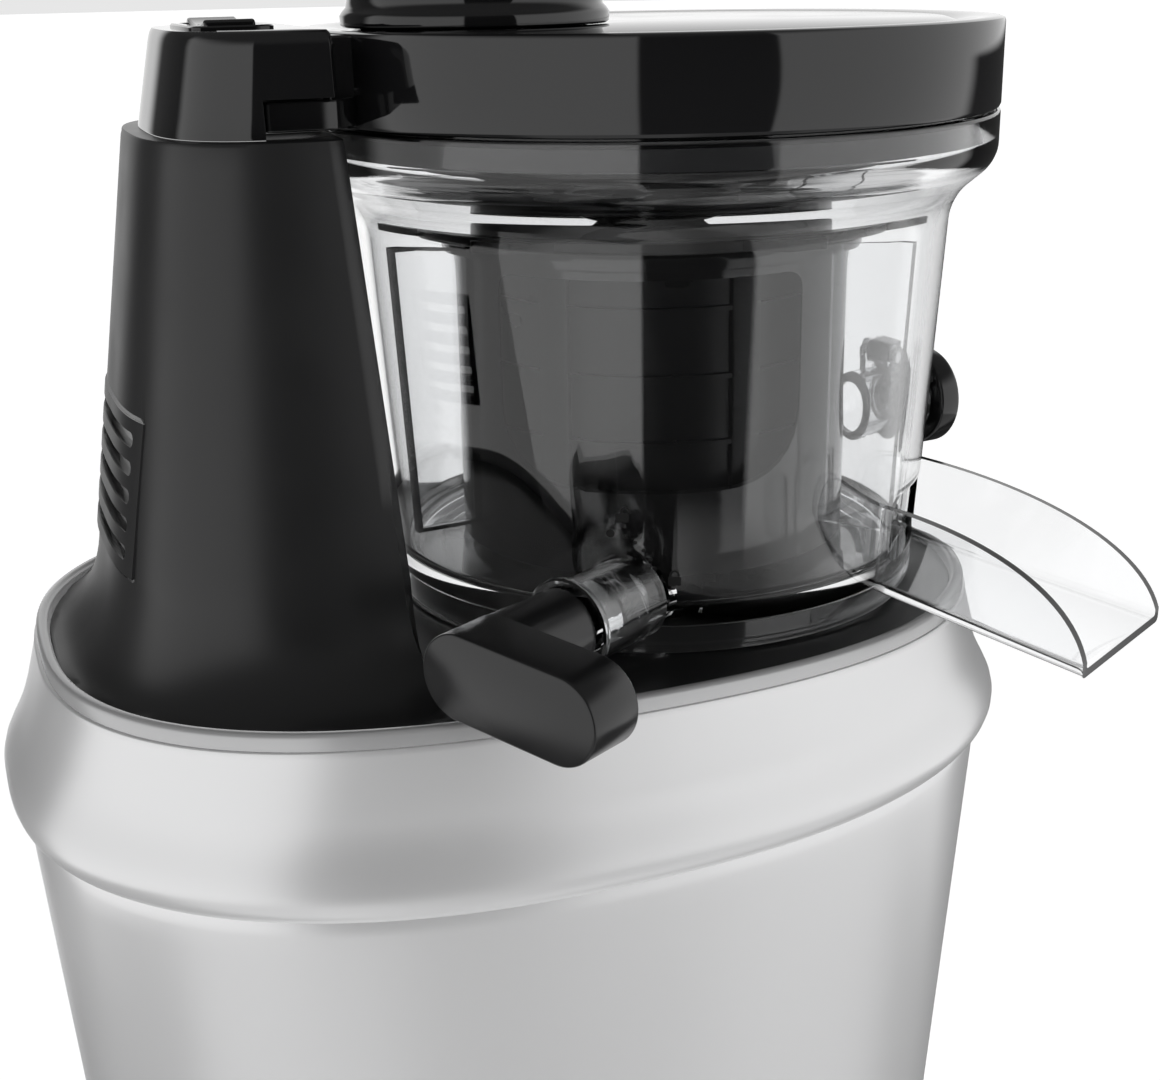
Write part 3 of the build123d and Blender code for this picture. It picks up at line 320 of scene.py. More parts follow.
# ------------------------------------------------------------------ materials
class Shader:
    """Node building for one material."""

    def __init__(self, name):
        self.material = bpy.data.materials.new(name)
        self.material.use_nodes = True
        self.tree = self.material.node_tree
        self.surface = self.tree.nodes["Principled BSDF"]

    def node(self, kind, **values):
        """A new node; each value goes to the input of that name, or else to the setting."""
        node = self.tree.nodes.new(kind)
        for key, value in values.items():
            if key in node.inputs:
                node.inputs[key].default_value = value
            else:
                setattr(node, key, value)
        return node

    def link(self, output, target):
        """Join an output to an input."""
        self.tree.links.new(output, target)

    def noise(self, scale, detail=3.0, stretch=(1, 1, 1)):
        """Noise in the object's own coordinates; scale is in features per metre."""
        place = self.node("ShaderNodeTexCoord")
        mapping = self.node("ShaderNodeMapping")
        mapping.inputs["Scale"].default_value = stretch
        noise = self.node("ShaderNodeTexNoise", Scale=scale, Detail=detail)
        self.link(place.outputs["Object"], mapping.inputs["Vector"])
        self.link(mapping.outputs["Vector"], noise.inputs["Vector"])
        return noise.outputs["Fac"]

    def spread(self, source, low, high):
        """The source value moved to the range low to high."""
        node = self.node("ShaderNodeMapRange")
        node.inputs["From Min"].default_value = 0.3
        node.inputs["From Max"].default_value = 0.7
        node.inputs["To Min"].default_value = low
        node.inputs["To Max"].default_value = high
        self.link(source, node.inputs["Value"])
        return node.outputs["Result"]

    def bump(self, source, depth, strength=1.0):
        """A bump of this depth in millimetres."""
        node = self.node("ShaderNodeBump", Distance=depth * MM, Strength=strength)
        self.link(source, node.inputs["Height"])
        self.link(node.outputs["Normal"], self.surface.inputs["Normal"])

    def tint(self, source, dark, light):
        """Base colour that wanders between two colours."""
        node = self.node("ShaderNodeMix", data_type="RGBA")
        colours = [socket for socket in node.inputs if socket.type == "RGBA"]
        colours[0].default_value = (*dark, 1)
        colours[1].default_value = (*light, 1)
        self.link(source, node.inputs["Factor"])
        result = [socket for socket in node.outputs if socket.type == "RGBA"][0]
        self.link(result, self.surface.inputs["Base Color"])


def moulded(name, colour, rough, rough_spread, grain, depth, variation=0.12, **sockets):
    """A plastic, rubber or paint: small colour drift, uneven gloss and a fine moulded grain."""
    shader = Shader(name)
    drift = shader.noise(18.0, 4.0)
    shader.tint(
        drift,
        tuple(c * (1 - variation) for c in colour),
        tuple(c * (1 + variation) for c in colour),
    )
    smudge = shader.noise(55.0, 5.0)
    gloss = shader.spread(smudge, rough - rough_spread, rough + rough_spread)
    shader.link(gloss, shader.surface.inputs["Roughness"])
    if depth:
        shader.bump(shader.noise(grain, 2.0), depth)
    for key, value in sockets.items():
        shader.surface.inputs[key.replace("_", " ")].default_value = value
    return shader.material


def worked_metal(name, colour, rough, stretch, depth=0.006):
    """Machined or drawn metal with fine lines along one direction."""
    shader = Shader(name)
    lines = shader.noise(900.0, 3.0, stretch)
    shader.tint(lines, tuple(c * 0.86 for c in colour), tuple(min(1.0, c * 1.08) for c in colour))
    shader.link(shader.spread(lines, rough - 0.08, rough + 0.1), shader.surface.inputs["Roughness"])
    shader.bump(lines, depth)
    shader.surface.inputs["Metallic"].default_value = 1.0
    return shader.material


def clear(name, colour, rough=0.02):
    """Clear moulded plastic with a faint wave in its surface."""
    shader = Shader(name)
    wave = shader.noise(14.0, 1.0)
    shader.tint(wave, tuple(c * 0.985 for c in colour), colour)
    gloss = shader.spread(shader.noise(70.0, 3.0), rough * 0.6, rough * 1.6)
    shader.link(gloss, shader.surface.inputs["Roughness"])
    shader.bump(wave, 0.04)
    shader.surface.inputs["Transmission Weight"].default_value = 1.0
    shader.surface.inputs["IOR"].default_value = 1.58
    return shader.material


silver = moulded("silver_paint", (0.84, 0.84, 0.845), 0.3, 0.01, 5200.0, 0.0008, 0.008, Metallic=0.46)
trim = moulded("light_trim", (0.55, 0.55, 0.555), 0.24, 0.02, 2500.0, 0.001, 0.02, Metallic=0.3)
matte_black = moulded("textured_black", (0.013, 0.013, 0.0135), 0.34, 0.03, 3600.0, 0.006, 0.08)
gloss_black = moulded("polished_black", (0.008, 0.008, 0.0085), 0.05, 0.02, 300.0, 0.0015, 0.1, IOR=1.58)
lever_black = moulded("satin_black", (0.012, 0.012, 0.0125), 0.2, 0.04, 2600.0, 0.004, 0.1)
smoke = moulded("smoky_plastic", (0.009, 0.009, 0.0095), 0.1, 0.03, 400.0, 0.0, 0.12, IOR=1.55)
pale_smoke = moulded(
    "pale_smoky_plastic", (0.012, 0.012, 0.0125), 0.3, 0.03, 400.0, 0.0, 0.12, Specular_IOR_Level=0.25
)
silicone = moulded("silicone", (0.035, 0.035, 0.037), 0.45, 0.06, 1500.0, 0.01, 0.1)
rubber = moulded("foot_rubber", (0.018, 0.018, 0.018), 0.7, 0.08, 2200.0, 0.03, 0.15)
steel = worked_metal("brushed_steel", (0.56, 0.56, 0.57), 0.28, (1, 1, 0.06))
cast_metal = worked_metal("cast_aluminium", (0.6, 0.61, 0.62), 0.42, (1, 1, 1), 0.02)
sheets = worked_metal("laminated_sheets", (0.28, 0.28, 0.29), 0.45, (0.05, 0.05, 1), 0.03)
copper = worked_metal("enamelled_wire", (0.72, 0.32, 0.12), 0.3, (0.1, 0.1, 1), 0.05)
acetal = moulded("acetal", (0.72, 0.71, 0.67), 0.4, 0.05, 1800.0, 0.006, 0.04)
board_green = moulded("solder_mask", (0.02, 0.12, 0.05), 0.3, 0.05, 1200.0, 0.01, 0.2)
clear_plastic = clear("clear_plastic", (0.93, 0.935, 0.94))
# painted shade: a dark material for the edges of clear parts, standing in for the dark look thick clear
# plastic has from its edge
edge_shade_painted = moulded("painted_edge_shade", (0.01, 0.01, 0.011), 0.12, 0.03, 800.0, 0.002, 0.1)
printed = moulded("printed_black", (0.006, 0.006, 0.006), 0.4, 0.05, 1500.0, 0.003, 0.1)

slot_material = {
    "silver_shell": silver,
    "light_trim": trim,
    "matte_black": matte_black,
    "gloss_black": gloss_black,
    "clear_plastic": clear_plastic,
    "dark_plastic": smoke,
    "silicone": silicone,
    "rubber_black": rubber,
    "steel": steel,
    "lamination": sheets,
    "copper": copper,
    "aluminium": cast_metal,
    "acetal": acetal,
    "circuit": board_green,
}
for part in frame["record"]["subparts"]:
    node = frame["nodes"][part["node"]]
    node.data.materials.clear()
    node.data.materials.append(slot_material[part["material_slot"]])


# ------------------------------------------------------------------ oval base
ridge_top = 21.0                # height of the shoulder ridge above the crease
shoulder_z = 173.0
wall_table = [                  # (z, half length, half width) of the oval
    (bottom_z, 101.0, 66.0),
    (70.0, 105.2, 69.8),
    (138.0, 109.6, 74.3),
    (150.0, 109.4, 75.2),
    (162.0, 107.2, 76.0),
    (shoulder_z, 104.0, 76.4),
]


def crease_height(angle):
    """Height of the crease under the ridge, which climbs at both ends, and how near an end is."""
    tail = ((1 - cos(angle)) / 2) ** 6
    nose = ((1 + cos(angle)) / 2) ** 6
    return 136.5 + 7.0 * tail + 8.0 * nose, tail + nose


def base_ring(level):
    """One ring of the base; level is ("trunk", share, inset), ("ridge", rise, push) or ("top", z, inset)."""
    kind, first, second = level
    ring = []
    for i in range(ROUND * 2):
        angle = 2 * pi * i / (ROUND * 2)
        x, y = oval_point(1.0, rim_half_y / rim_half_x, angle)
        height, ends = crease_height(atan2(y, x))
        if kind == "trunk":
            z = bottom_z + first * (height - bottom_z)
            push = -second
        elif kind == "ridge":
            z = min(height + first, shoulder_z - (ridge_top - first) * 0.05)
            push = second * (1.0 + 0.35 * ends)
        else:
            z = first
            push = -second
        half_x, half_y = between(wall_table, z)
        x, y = oval_point(half_x + push, half_y + push, angle)
        ring.append((x, y, z))
    return ring


base_levels = [("trunk", 0.0, 2.6), ("trunk", 0.004, 1.2), ("trunk", 0.012, 0.4), ("trunk", 0.024, 0.0)]
trunk_shares = (0.1, 0.2, 0.32, 0.44, 0.56, 0.68, 0.8, 0.88, 0.94, 0.975)
base_levels += [("trunk", share, 0.0) for share in trunk_shares]
base_levels += [("trunk", 0.993, 0.1), ("trunk", 1.0, 0.35)]
ridge_shape = [                 # (rise above the crease, push outwards)
    (0.35, 0.1), (0.9, 0.9), (1.7, 1.65), (2.9, 2.3), (4.4, 2.65), (6.2, 2.7), (8.2, 2.45), (10.5, 1.9),
    (13.0, 1.2), (15.5, 0.6), (18.0, 0.2), (ridge_top, 0.0),
]
base_levels += [("ridge", rise, push) for rise, push in ridge_shape]
base_levels += [("top", 173.2, 0.0), ("top", 174.3, 0.05), ("top", 174.58, 0.3), ("top", 174.64, 4.0)]
base_shell = skin("base_shell", [base_ring(level) for level in base_levels])
dress(base_shell, "base", silver, ["base_housing"], 60.0)

lip_low_z = 174.7
lip_profile = [(0.0, lip_low_z), (0.0, rim_z - 0.9), (0.25, rim_z - 0.35), (0.8, rim_z), (1.8, rim_z)]
lip_profile += [(2.35, rim_z - 0.35), (rim_width, rim_z - 0.9), (rim_width, lip_low_z)]
lip_rings = [oval_ring(rim_half_x - inset, rim_half_y - inset, z) for inset, z in lip_profile]
rim_lip = skin("rim_lip", lip_rings, closed=True)
dress(rim_lip, "base", trim, ["rim_trim"], 50.0)

# ------------------------------------------------------------------ tower and deck
deck_half_x = rim_half_x - rim_width - 0.1
deck_half_y = rim_half_y - rim_width - 0.1
deck_share = 0.995              # how near the flare may come to the deck's edge


def tower_outline(face_x, outer_x, half_y, corner=tower_corner, arc=72, flat=12):
    """The D-shaped outline: a half superellipse, and a flat inner face with rounded corners."""
    points = []
    for i in range(arc + 1):
        angle = pi / 2 + pi * i / arc
        c = cos(angle)
        s = sin(angle)
        reach = (abs(c) ** tower_power + abs(s) ** tower_power) ** (-1 / tower_power)
        points.append(((face_x - corner) + (face_x - corner - outer_x) * reach * c, half_y * reach * s))
    for i in range(1, flat):
        angle = -pi / 2 + pi * i / flat
        bow = corner * (1 - abs(sin(angle)) ** 8) ** (1 / 8)
        points.append((face_x - corner + bow, half_y * sin(angle)))
    return points


def tower_ring(z):
    """The tower's outline at a height above its flare."""
    t = (z - tower_foot_z) / (tower_top_z - tower_foot_z)
    sizes = [a + (b - a) * t for a, b in zip(tower_foot, tower_head)]
    return [(x, y, z) for x, y in tower_outline(*sizes)]


def flare_ring(t, reach_x=12.0, reach_y=19.0, reach_in=2.0):
    """The concave fillet between tower and deck; t runs from 0 at the tower to 1 at the deck."""
    rise = tower_foot_z - deck_z
    turn = t * pi / 2
    z = deck_z + rise * (1 - sin(turn)) - 0.1 * t
    base = [point[:2] for point in tower_ring(tower_foot_z - 0.35 * rise * t)]
    count = len(base)
    ring = []
    for i, (x, y) in enumerate(base):
        back = base[i - 1]
        ahead = base[(i + 1) % count]
        normal = Vector((ahead[1] - back[1], back[0] - ahead[0])).normalized()
        reach = reach_x * max(0, -normal.x) ** 2 + reach_y * normal.y ** 2 + reach_in * max(0, normal.x) ** 2
        push = reach * (1 - cos(turn))
        px = x + normal.x * push
        py = y + normal.y * push
        load = (abs(px / deck_half_x) ** oval_power + abs(py / deck_half_y) ** oval_power) ** (1 / oval_power)
        if load > deck_share:
            px *= deck_share / load
            py *= deck_share / load
        ring.append((px, py, z))
    return ring


tower_rings = [flare_ring(1 - i / 14) for i in range(15)]
tower_rings += [tower_ring(z) for z in (203.0, 212.0, 224.0, 238.0, 252.0, 266.0, 275.0, 278.6)]
head_ring = [point[:2] for point in tower_ring(tower_top_z)]
tower_middle_x = -57.0
top_z = tower_top_z
for inset, z in ((0.0, top_z - 0.8), (0.004, top_z - 0.25), (0.014, top_z), (0.2, top_z)):
    tower_rings.append([(x + (tower_middle_x - x) * inset, y * (1 - inset), z) for x, y in head_ring])
tower_rings.insert(0, [(x, y, deck_z - 3.0) for x, y, _ in tower_rings[0]])
tower_shell = skin("tower_shell", tower_rings)

vent_slots = 5
vent_pitch = 5.6
vent_margin = 4.5
vent_slot_half = 1.45
vent_lean = 0.16                # the panel leans as the tower does
vent_middle_z = (vent_low[2] + vent_high[2]) / 2
vent_half_y = vent_high[1]


def slot_outline(half_length, half_height, steps=8):
    """A round-ended slot."""
    points = []
    for side in (1, -1):
        for i in range(steps + 1):
            angle = -pi / 2 + pi * i / steps
            along = side * (half_length - half_height + half_height * cos(angle))
            points.append((along, side * half_height * sin(angle)))
    return points


def vent_cutter(index, start_x, length):
    """A slot-shaped block that runs along X through the vent."""
    z = vent_middle_z + (index - (vent_slots - 1) / 2) * vent_pitch
    outline = slot_outline(vent_half_y - vent_margin, vent_slot_half)
    return prism("cutter", outline, (start_x, 0, z), (0, 1, 0), (0, 0, 1), (length, 0, 0))


for index in range(vent_slots):
    cut(tower_shell, vent_cutter(index, -100.0, 26.0))


def vent_frame(grow, start_x, length):
    """A block of the vent panel's outline, leaning with the tower."""
    half_z = (vent_high[2] - vent_low[2]) / 2 + grow
    half_y = vent_half_y + grow
    corners = soften([(-half_y, -half_z), (half_y, -half_z), (half_y, half_z), (-half_y, half_z)], 1.6 + grow)
    start = (start_x, 0, vent_middle_z)
    return prism("cutter", corners, start, (0, 1, 0), (vent_lean, 0, 1), (length, 0, 0))


groove = vent_frame(0.35, -104.0, 21.4)
cut(groove, vent_frame(-0.35, -106.0, 30.0))
cut(tower_shell, groove)

deck_profile = [(0.6, deck_z - 5.0), (0.0, deck_z - 4.4), (0.0, deck_z - 0.7)]
deck_profile += [(0.25, deck_z - 0.2), (0.9, deck_z)]
deck_rings = [oval_ring(deck_half_x - inset, deck_half_y - inset, z) for inset, z in deck_profile]
deck_plate = skin("deck_plate", deck_rings)
gather(tower_shell, [deck_plate])
dress(tower_shell, "base", matte_black, ["tower_housing"], 40.0)
tower_shell.visible_glossy = False    # the studio in the photo leaves the bowl's left side light


def tower_skin_x(y, z):
    """X of the tower's outer surface at a given y and z."""
    t = (z - tower_foot_z) / (tower_top_z - tower_foot_z)
    face_x, outer_x, half_y = [a + (b - a) * t for a, b in zip(tower_foot, tower_head)]
    if t < 0:
        widen = (1 - cos(min(1.0, -t * 3.7) * 0.9)) * 12.0
        outer_x -= widen
        half_y += widen
    share = max(0.0, 1 - (abs(y) / half_y) ** tower_power) ** (1 / tower_power)
    return face_x - tower_corner - (face_x - tower_corner - outer_x) * share


panel_half_y = vent_half_y - 0.5
panel_low_z = vent_low[2] + 0.4
panel_high_z = vent_high[2] - 0.4
panel_columns = 48
panel_rows = 20
panel_proud = 0.35
panel_depth = 1.6
front = []
rear = []
for row in range(panel_rows + 1):
    for column in range(panel_columns + 1):
        y = -panel_half_y + 2 * panel_half_y * column / panel_columns
        z = panel_low_z + (panel_high_z - panel_low_z) * row / panel_rows
        x = tower_skin_x(y, z)
        front.append((x - panel_proud, y, z))
        rear.append((x + panel_depth, y, z))
width = panel_columns + 1
panel_faces = []
for row in range(panel_rows):
    for column in range(panel_columns):
        corner = row * width + column
        quad = (corner, corner + 1, corner + 1 + width, corner + width)
        panel_faces.append(quad)
        panel_faces.append(tuple(i + len(front) for i in reversed(quad)))
border = list(range(width))
border += [row * width + width - 1 for row in range(1, panel_rows + 1)]
border += [panel_rows * width + column for column in range(width - 2, -1, -1)]
border += [row * width for row in range(panel_rows - 1, 0, -1)]
for i, corner in enumerate(border):
    ahead = border[(i + 1) % len(border)]
    panel_faces.append((corner, ahead, ahead + len(front), corner + len(front)))
vent_panel = new_piece("vent_panel", front + rear, panel_faces)
for index in range(vent_slots):
    cut(vent_panel, vent_cutter(index, -110.0, 60.0))
break_edges(vent_panel, 0.25, 2, 50.0)
dress(vent_panel, "base", matte_black, ["vent_grille"], 40.0)

cap_top_z = cap_high[2]
cap_rings = []
for inset, z in (
    (0.02, tower_top_z), (0.006, tower_top_z + 0.15), (0.0, tower_top_z + 0.6), (0.0, 284.0), (0.0, 290.0),
    (0.0, 296.4), (0.005, 297.6), (0.018, 298.5), (0.04, cap_top_z), (0.3, cap_top_z),
):
    t = (z - tower_top_z) / (cap_top_z - tower_top_z)
    sizes = [a + (b - a) * t for a, b in zip(cap_foot, cap_head)]
    outline = tower_outline(*sizes, corner=1.0)
    cap_rings.append([(x + (tower_middle_x - x) * inset, y * (1 - inset), z) for x, y in outline])
tower_cap = skin("tower_cap_shell", cap_rings)
notch = soften([(-54.2, -60.0), (-39.0, -60.0), (-39.0, -17.0), (-54.2, -17.0)], [0, 0, 0, 1.5])
cut(tower_cap, prism("cutter", notch, (0, 0, tower_top_z - 1), (1, 0, 0), (0, 1, 0), (0, 0, 8.2)))
bezel_x = bezel_middle[0]
switch_hole = soften([(-6.2, -12.5), (6.2, -12.5), (6.2, 12.5), (-6.2, 12.5)], 1.5)
cut(tower_cap, prism("cutter", switch_hole, (bezel_x, 0, 291.0), (1, 0, 0), (0, 1, 0), (0, 0, 12.0)))
break_edges(tower_cap, 0.35, 3, 40.0)
dress(tower_cap, "base", gloss_black, ["tower_cap"], 40.0)

bezel_half_x = 8.0
bezel_half_y = 14.5
bezel_rings = []
for inset, z in (
    (0.0, 299.0), (0.0, 299.4), (0.3, 299.7), (1.6, 299.7), (2.4, 299.4), (2.6, 298.8), (2.6, 292.0),
    (2.0, 292.0), (2.0, 299.0),
):
    u = bezel_half_x - inset
    v = bezel_half_y - inset
    outline = soften([(-u, -v), (u, -v), (u, v), (-u, v)], 3.0 if inset < 2.0 else 1.2)
    bezel_rings.append([(bezel_x + x, y, z) for x, y in outline])
bezel = skin("switch_bezel_ring", bezel_rings, closed=True)
dress(bezel, "base", gloss_black, ["switch_bezel"], 40.0)

rocker_side = [(-10.6, 297.0), (-10.6, 300.2), (-9.9, 300.8)]
rocker_side += [(-9.9 + 19.8 * i / 12, 299.6 + 1.2 * (1 - i / 6) ** 2) for i in range(1, 12)]
rocker_side += [(9.9, 300.8), (10.6, 300.2), (10.6, 297.0), (5.0, 293.4), (-5.0, 293.4)]
rocker_half = 4.9
rocker_start = (bezel_x - rocker_half, 0, 0)
rocker = prism("rocker_key", rocker_side, rocker_start, (0, 1, 0), (0, 0, 1), (2 * rocker_half, 0, 0))
break_edges(rocker, 0.5, 3, 50.0)
dress(rocker, "rocker", gloss_black, ["power_rocker"], 40.0)

# ------------------------------------------------------------------ lid, feed chute and pusher
skirt_radius = 71.4
bore_radius = 23.2
lid_profile = [(4.0, lid_top_z - 0.2), (62.0, lid_top_z - 0.2), (64.4, lid_top_z - 0.9)]
lid_profile += [(66.8, lid_top_z - 0.3), (70.4, lid_top_z), (73.0, lid_top_z), (73.7, lid_top_z - 0.3)]
lid_profile += [(lid_radius, lid_top_z - 1.0), (lid_radius, lid_bottom_z + 0.9)]
lid_profile += [(lid_radius - 0.3, lid_bottom_z + 0.25), (lid_radius - 0.9, lid_bottom_z)]
lid_profile += [(skirt_radius, lid_bottom_z), (skirt_radius, 294.5), (68.6, 294.5), (68.6, 273.4)]
lid_profile += [(68.2, 273.0), (66.6, 273.0), (66.2, 273.4), (66.2, 295.0), (9.0, 295.0), (9.0, 279.0)]
lid_profile += [(5.05, 279.0), (5.05, 292.5), (1.0, 292.5)]
lid_shell = lathe("lid_shell", lid_profile, (bowl_x, 0))
cut(lid_shell, lathe("cutter", [(bore_radius, 290.0), (bore_radius, 302.0)], (feed_x, 0), count=96))
ear = [(-39.7, -22.0), (-30.0, -22.0), (-30.0, -9.0), (-37.0, -9.0), (-39.7, -12.0)]
ear = soften(ear, [1.0, 0, 0, 1.0, 1.0], 3)
lid_ear = prism("lid_ear", ear, (0, 0, lid_bottom_z), (1, 0, 0), (0, 1, 0), (0, 0, 17.6))
tongue = [(-53.2, -28.0), (-53.2, -18.0), (-34.0, -18.0), (-34.0, -22.0), (-39.0, -28.0)]
tongue = soften(tongue, [1.5, 1.5, 0, 0, 1.5], 4)
tongue_piece = prism("tongue", tongue, (0, 0, 280.8), (1, 0, 0), (0, 1, 0), (0, 0, 5.6))
gather(lid_ear, [tongue_piece])
break_edges(lid_ear, 0.45, 3, 40.0)
break_edges(lid_shell, 0.25, 2, 50.0)
dress(lid_shell, "lid", gloss_black, ["lid"], 28.0)
dress(lid_ear, "lid", gloss_black, (), 40.0)

feed_z = feed_low[2]
mouth_z = feed_high[2]
feed_profile = [(bore_radius, feed_z), (27.0, feed_z), (27.5, feed_z + 0.4), (27.6, feed_z + 2.2)]
feed_profile += [(27.1, feed_z + 3.0), (26.3, feed_z + 3.8), (26.0, feed_z + 5.2), (26.0, 340.0)]
feed_profile += [(26.0, 356.0), (26.25, 360.0), (27.1, 364.0), (28.7, 367.6), (30.9, 370.2), (32.8, 371.7)]
feed_profile += [(33.0, 372.4), (32.4, 373.1), (31.4, mouth_z), (30.3, 373.0), (28.0, 371.2), (25.9, 367.6)]
feed_profile += [(24.3, 362.6), (23.5, 358.6), (bore_radius, 354.0), (bore_radius, 330.0)]
feed_tube = lathe("feed_tube", feed_profile, (feed_x, 0), closed=True, count=128)
dress(feed_tube, "lid", gloss_black, ["feed_chute"], 45.0)

push_low = pusher_low[2]
push_top = pusher_high[2]
push_bore = 20.2
push_radius = 22.6
pusher_profile = [(push_bore, push_low), (22.2, push_low), (push_radius, push_low + 0.5)]
pusher_profile += [(push_radius, 373.0), (22.9, 373.8), (28.2, 374.0), (28.9, 374.5), (29.0, 375.5)]
pusher_profile += [(29.0, 377.6), (28.5, 378.7), (27.2, 379.0), (push_radius, 379.1), (21.3, 379.6)]
pusher_profile += [(20.7, 381.0), (20.2, 385.0), (20.0, 388.6), (19.3, 391.6), (17.2, 393.4)]
pusher_profile += [(14.0, push_top), (9.0, push_top), (8.2, 393.4), (7.0, 393.1), (1.0, 393.0)]
pusher_body = lathe("pusher_body", pusher_profile, (feed_x, 0), count=128)
cut(pusher_body, lathe("cutter", [(push_bore, push_low - 2.0), (push_bore, 366.0)], (feed_x, 0), count=96))
dress(pusher_body, "pusher", gloss_black, ["pusher"], 40.0)

# ------------------------------------------------------------------ clear bowl and pulp chute
bowl_table = [(176.4, 59.6), (259.0, 64.6)]     # (z, radius) of the outer wall
bowl_profile = soften(
    [
        (55.4, 176.4), (59.6, 176.4), (64.6, 259.0), (66.8, 263.5), (72.6, 268.4), (lid_radius, 271.4),
        (lid_radius, 279.6), (skirt_radius, 279.6), (skirt_radius, 273.2), (69.6, 270.6),
        (64.2, 265.6), (62.0, 259.8),
        (57.4, 186.0), (11.2, 186.0), (11.2, 187.0), (8.8, 187.0), (8.8, 182.0), (55.4, 182.0),
    ],
    [0.4, 1.2, 5.0, 4.0, 2.5, 1.5, 0.8, 0.6, 1.2, 2.5, 3.0, 4.0, 3.0, 0, 0.3, 0.3, 0, 0.4],
    4,
)
bowl = lathe("clear_bowl", bowl_profile, (bowl_x, 0), closed=True)
nozzle_rows = [(50.0, 8.6), (69.0, 8.6), (69.4, 9.5), (70.0, 9.8), (nozzle_end - 0.4, 9.8), (nozzle_end, 9.4)]
spout_rows = [(58.0, 8.5), (spout_end - 0.4, 8.5), (spout_end, 8.1)]
fuse(bowl, rod("nozzle", lever_angle, lever_offset, lever_z, 0, 0, nozzle_rows))
fuse(bowl, rod("spout", spout_angle, 0.0, spout_z, 0, 0, spout_rows))
hollow_corners = [(0.5, 186.02), (57.35, 186.02), (61.95, 259.8), (61.95, 262.0), (0.5, 262.0)]
bowl_hollow = soften(hollow_corners, [0, 3.0, 0, 0, 0], 4)
cut(bowl, lathe("cutter", bowl_hollow, (bowl_x, 0)))
cut(bowl, rod("cutter", lever_angle, lever_offset, lever_z, 44.0, 80.0, 6.65))
cut(bowl, rod("cutter", spout_angle, 0.0, spout_z, 50.0, 80.0, 6.3))
window = soften([(-14.0, -7.5), (14.0, -7.5), (14.0, 7.5), (-14.0, 7.5)], 4.0)
window_origin = from_bowl(chute_angle, 40.0, chute_offset, 193.5)
cut(bowl, prism("cutter", window, window_origin, leftwards(chute_angle), UP, outwards(chute_angle) * 40.0))
knuckle_z = spout_z + 11.6
knuckle_along = spout_end - 3.2
lug_radius = 2.8
lug_foot_z = spout_z + 5.0
cap_lugs = []
for side in (-7.6, 5.2):
    lug_rings = []
    for across in (side, side + 2.4):
        ring = [from_bowl(spout_angle, knuckle_along - lug_radius, across, lug_foot_z)]
        for i in range(17):
            angle = pi - pi * i / 16
            along = knuckle_along + lug_radius * cos(angle)
            ring.append(from_bowl(spout_angle, along, across, knuckle_z + lug_radius * sin(angle)))
        ring.append(from_bowl(spout_angle, knuckle_along + lug_radius, across, lug_foot_z))
        lug_rings.append(ring)
    cap_lugs.append(skin("lug", lug_rings))
gather(bowl, cap_lugs)
bowl_nodes = ["juice_bowl", "juice_spout", "lever_nozzle"]
dress(bowl, "base", clear_plastic, bowl_nodes, 30.0)


def chute_top(t):
    """(along, z) of the chute walls' upper edge, from the bowl at t = 0 to the lip at t = 1."""
    corners = [(chute_start, 200.4), (82.0, 198.4), (102.8, 190.4), (chute_end, 176.0)]
    weights = ((1 - t) ** 3, 3 * t * (1 - t) ** 2, 3 * t * t * (1 - t), t ** 3)
    return tuple(sum(w * c[k] for w, c in zip(weights, corners)) for k in (0, 1))


chute_wall = 2.0
chute_rings = []
chute_steps = 28
for step in range(chute_steps + 1):
    t = step / chute_steps
    along, top_z = chute_top(t)
    floor_z = chute_root_z + (chute_lip_z - chute_root_z) * (along - 60.0) / (chute_lip - 60.0)
    outer = chute_half_width
    inner = chute_half_width - chute_wall
    floor_top = floor_z + chute_wall - 0.2
    top_z = max(top_z, floor_top + 0.3)
    outline = [(outer, top_z), (outer, floor_z), (-outer, floor_z), (-outer, top_z), (-inner, top_z)]
    outline += [(-inner, floor_top), (inner, floor_top), (inner, top_z)]
    outline = soften(outline, [0, 2.4, 2.4, 0, 0, 1.2, 1.2, 0], 4)
    ring = []
    for side, z in outline:
        wide = side + chute_offset
        radius = between(bowl_table, z)[0] - 0.4
        root = (max(0.0, radius * radius - wide * wide)) ** 0.5
        out = root + (chute_lip - root) * (along - chute_start) / (chute_end - chute_start) if step else root
        ring.append(from_bowl(chute_angle, out, wide, z))
    chute_rings.append(ring)
pulp_spout = skin("pulp_spout", chute_rings)
dress(pulp_spout, "base", clear_plastic, ["pulp_chute"], 30.0)
# painted shade: the walls' cut edges and the lip's end face get a dark material, standing in for the dark
# look that thick clear plastic has from its edge
pulp_spout.data.materials.append(edge_shade_painted)
section = len(chute_rings[0])
for polygon in pulp_spout.data.polygons:
    column = polygon.index % section
    if polygon.index < chute_steps * section and column in (section // 2 - 1, section - 1):
        polygon.material_index = 1
pulp_spout.data.polygons[-1].material_index = 1

# ------------------------------------------------------------------ printed marks on the bowl
marks_points = []
marks_faces = []


def add_mark(outline, angle, z):
    """A thin printed patch on the bowl; the outline is in millimetres across and up."""
    lift = 0.06
    for level in (0.0, lift):
        for u, v in outline:
            radius = between(bowl_table, z + v)[0] + level
            turn = radians(angle) + u / radius
            marks_points.append((bowl_x + radius * cos(turn), radius * sin(turn), z + v))
    count = len(outline)
    first = len(marks_points) - 2 * count
    for i in range(count):
        j = (i + 1) % count
        marks_faces.append((first + i, first + j, first + count + j, first + count + i))
    marks_faces.append(tuple(range(first, first + count)))
    marks_faces.append(tuple(range(first + count, first + 2 * count)))


def disc_outline(radius, count=20):
    """A dot."""
    return [(radius * cos(2 * pi * i / count), radius * sin(2 * pi * i / count)) for i in range(count)]


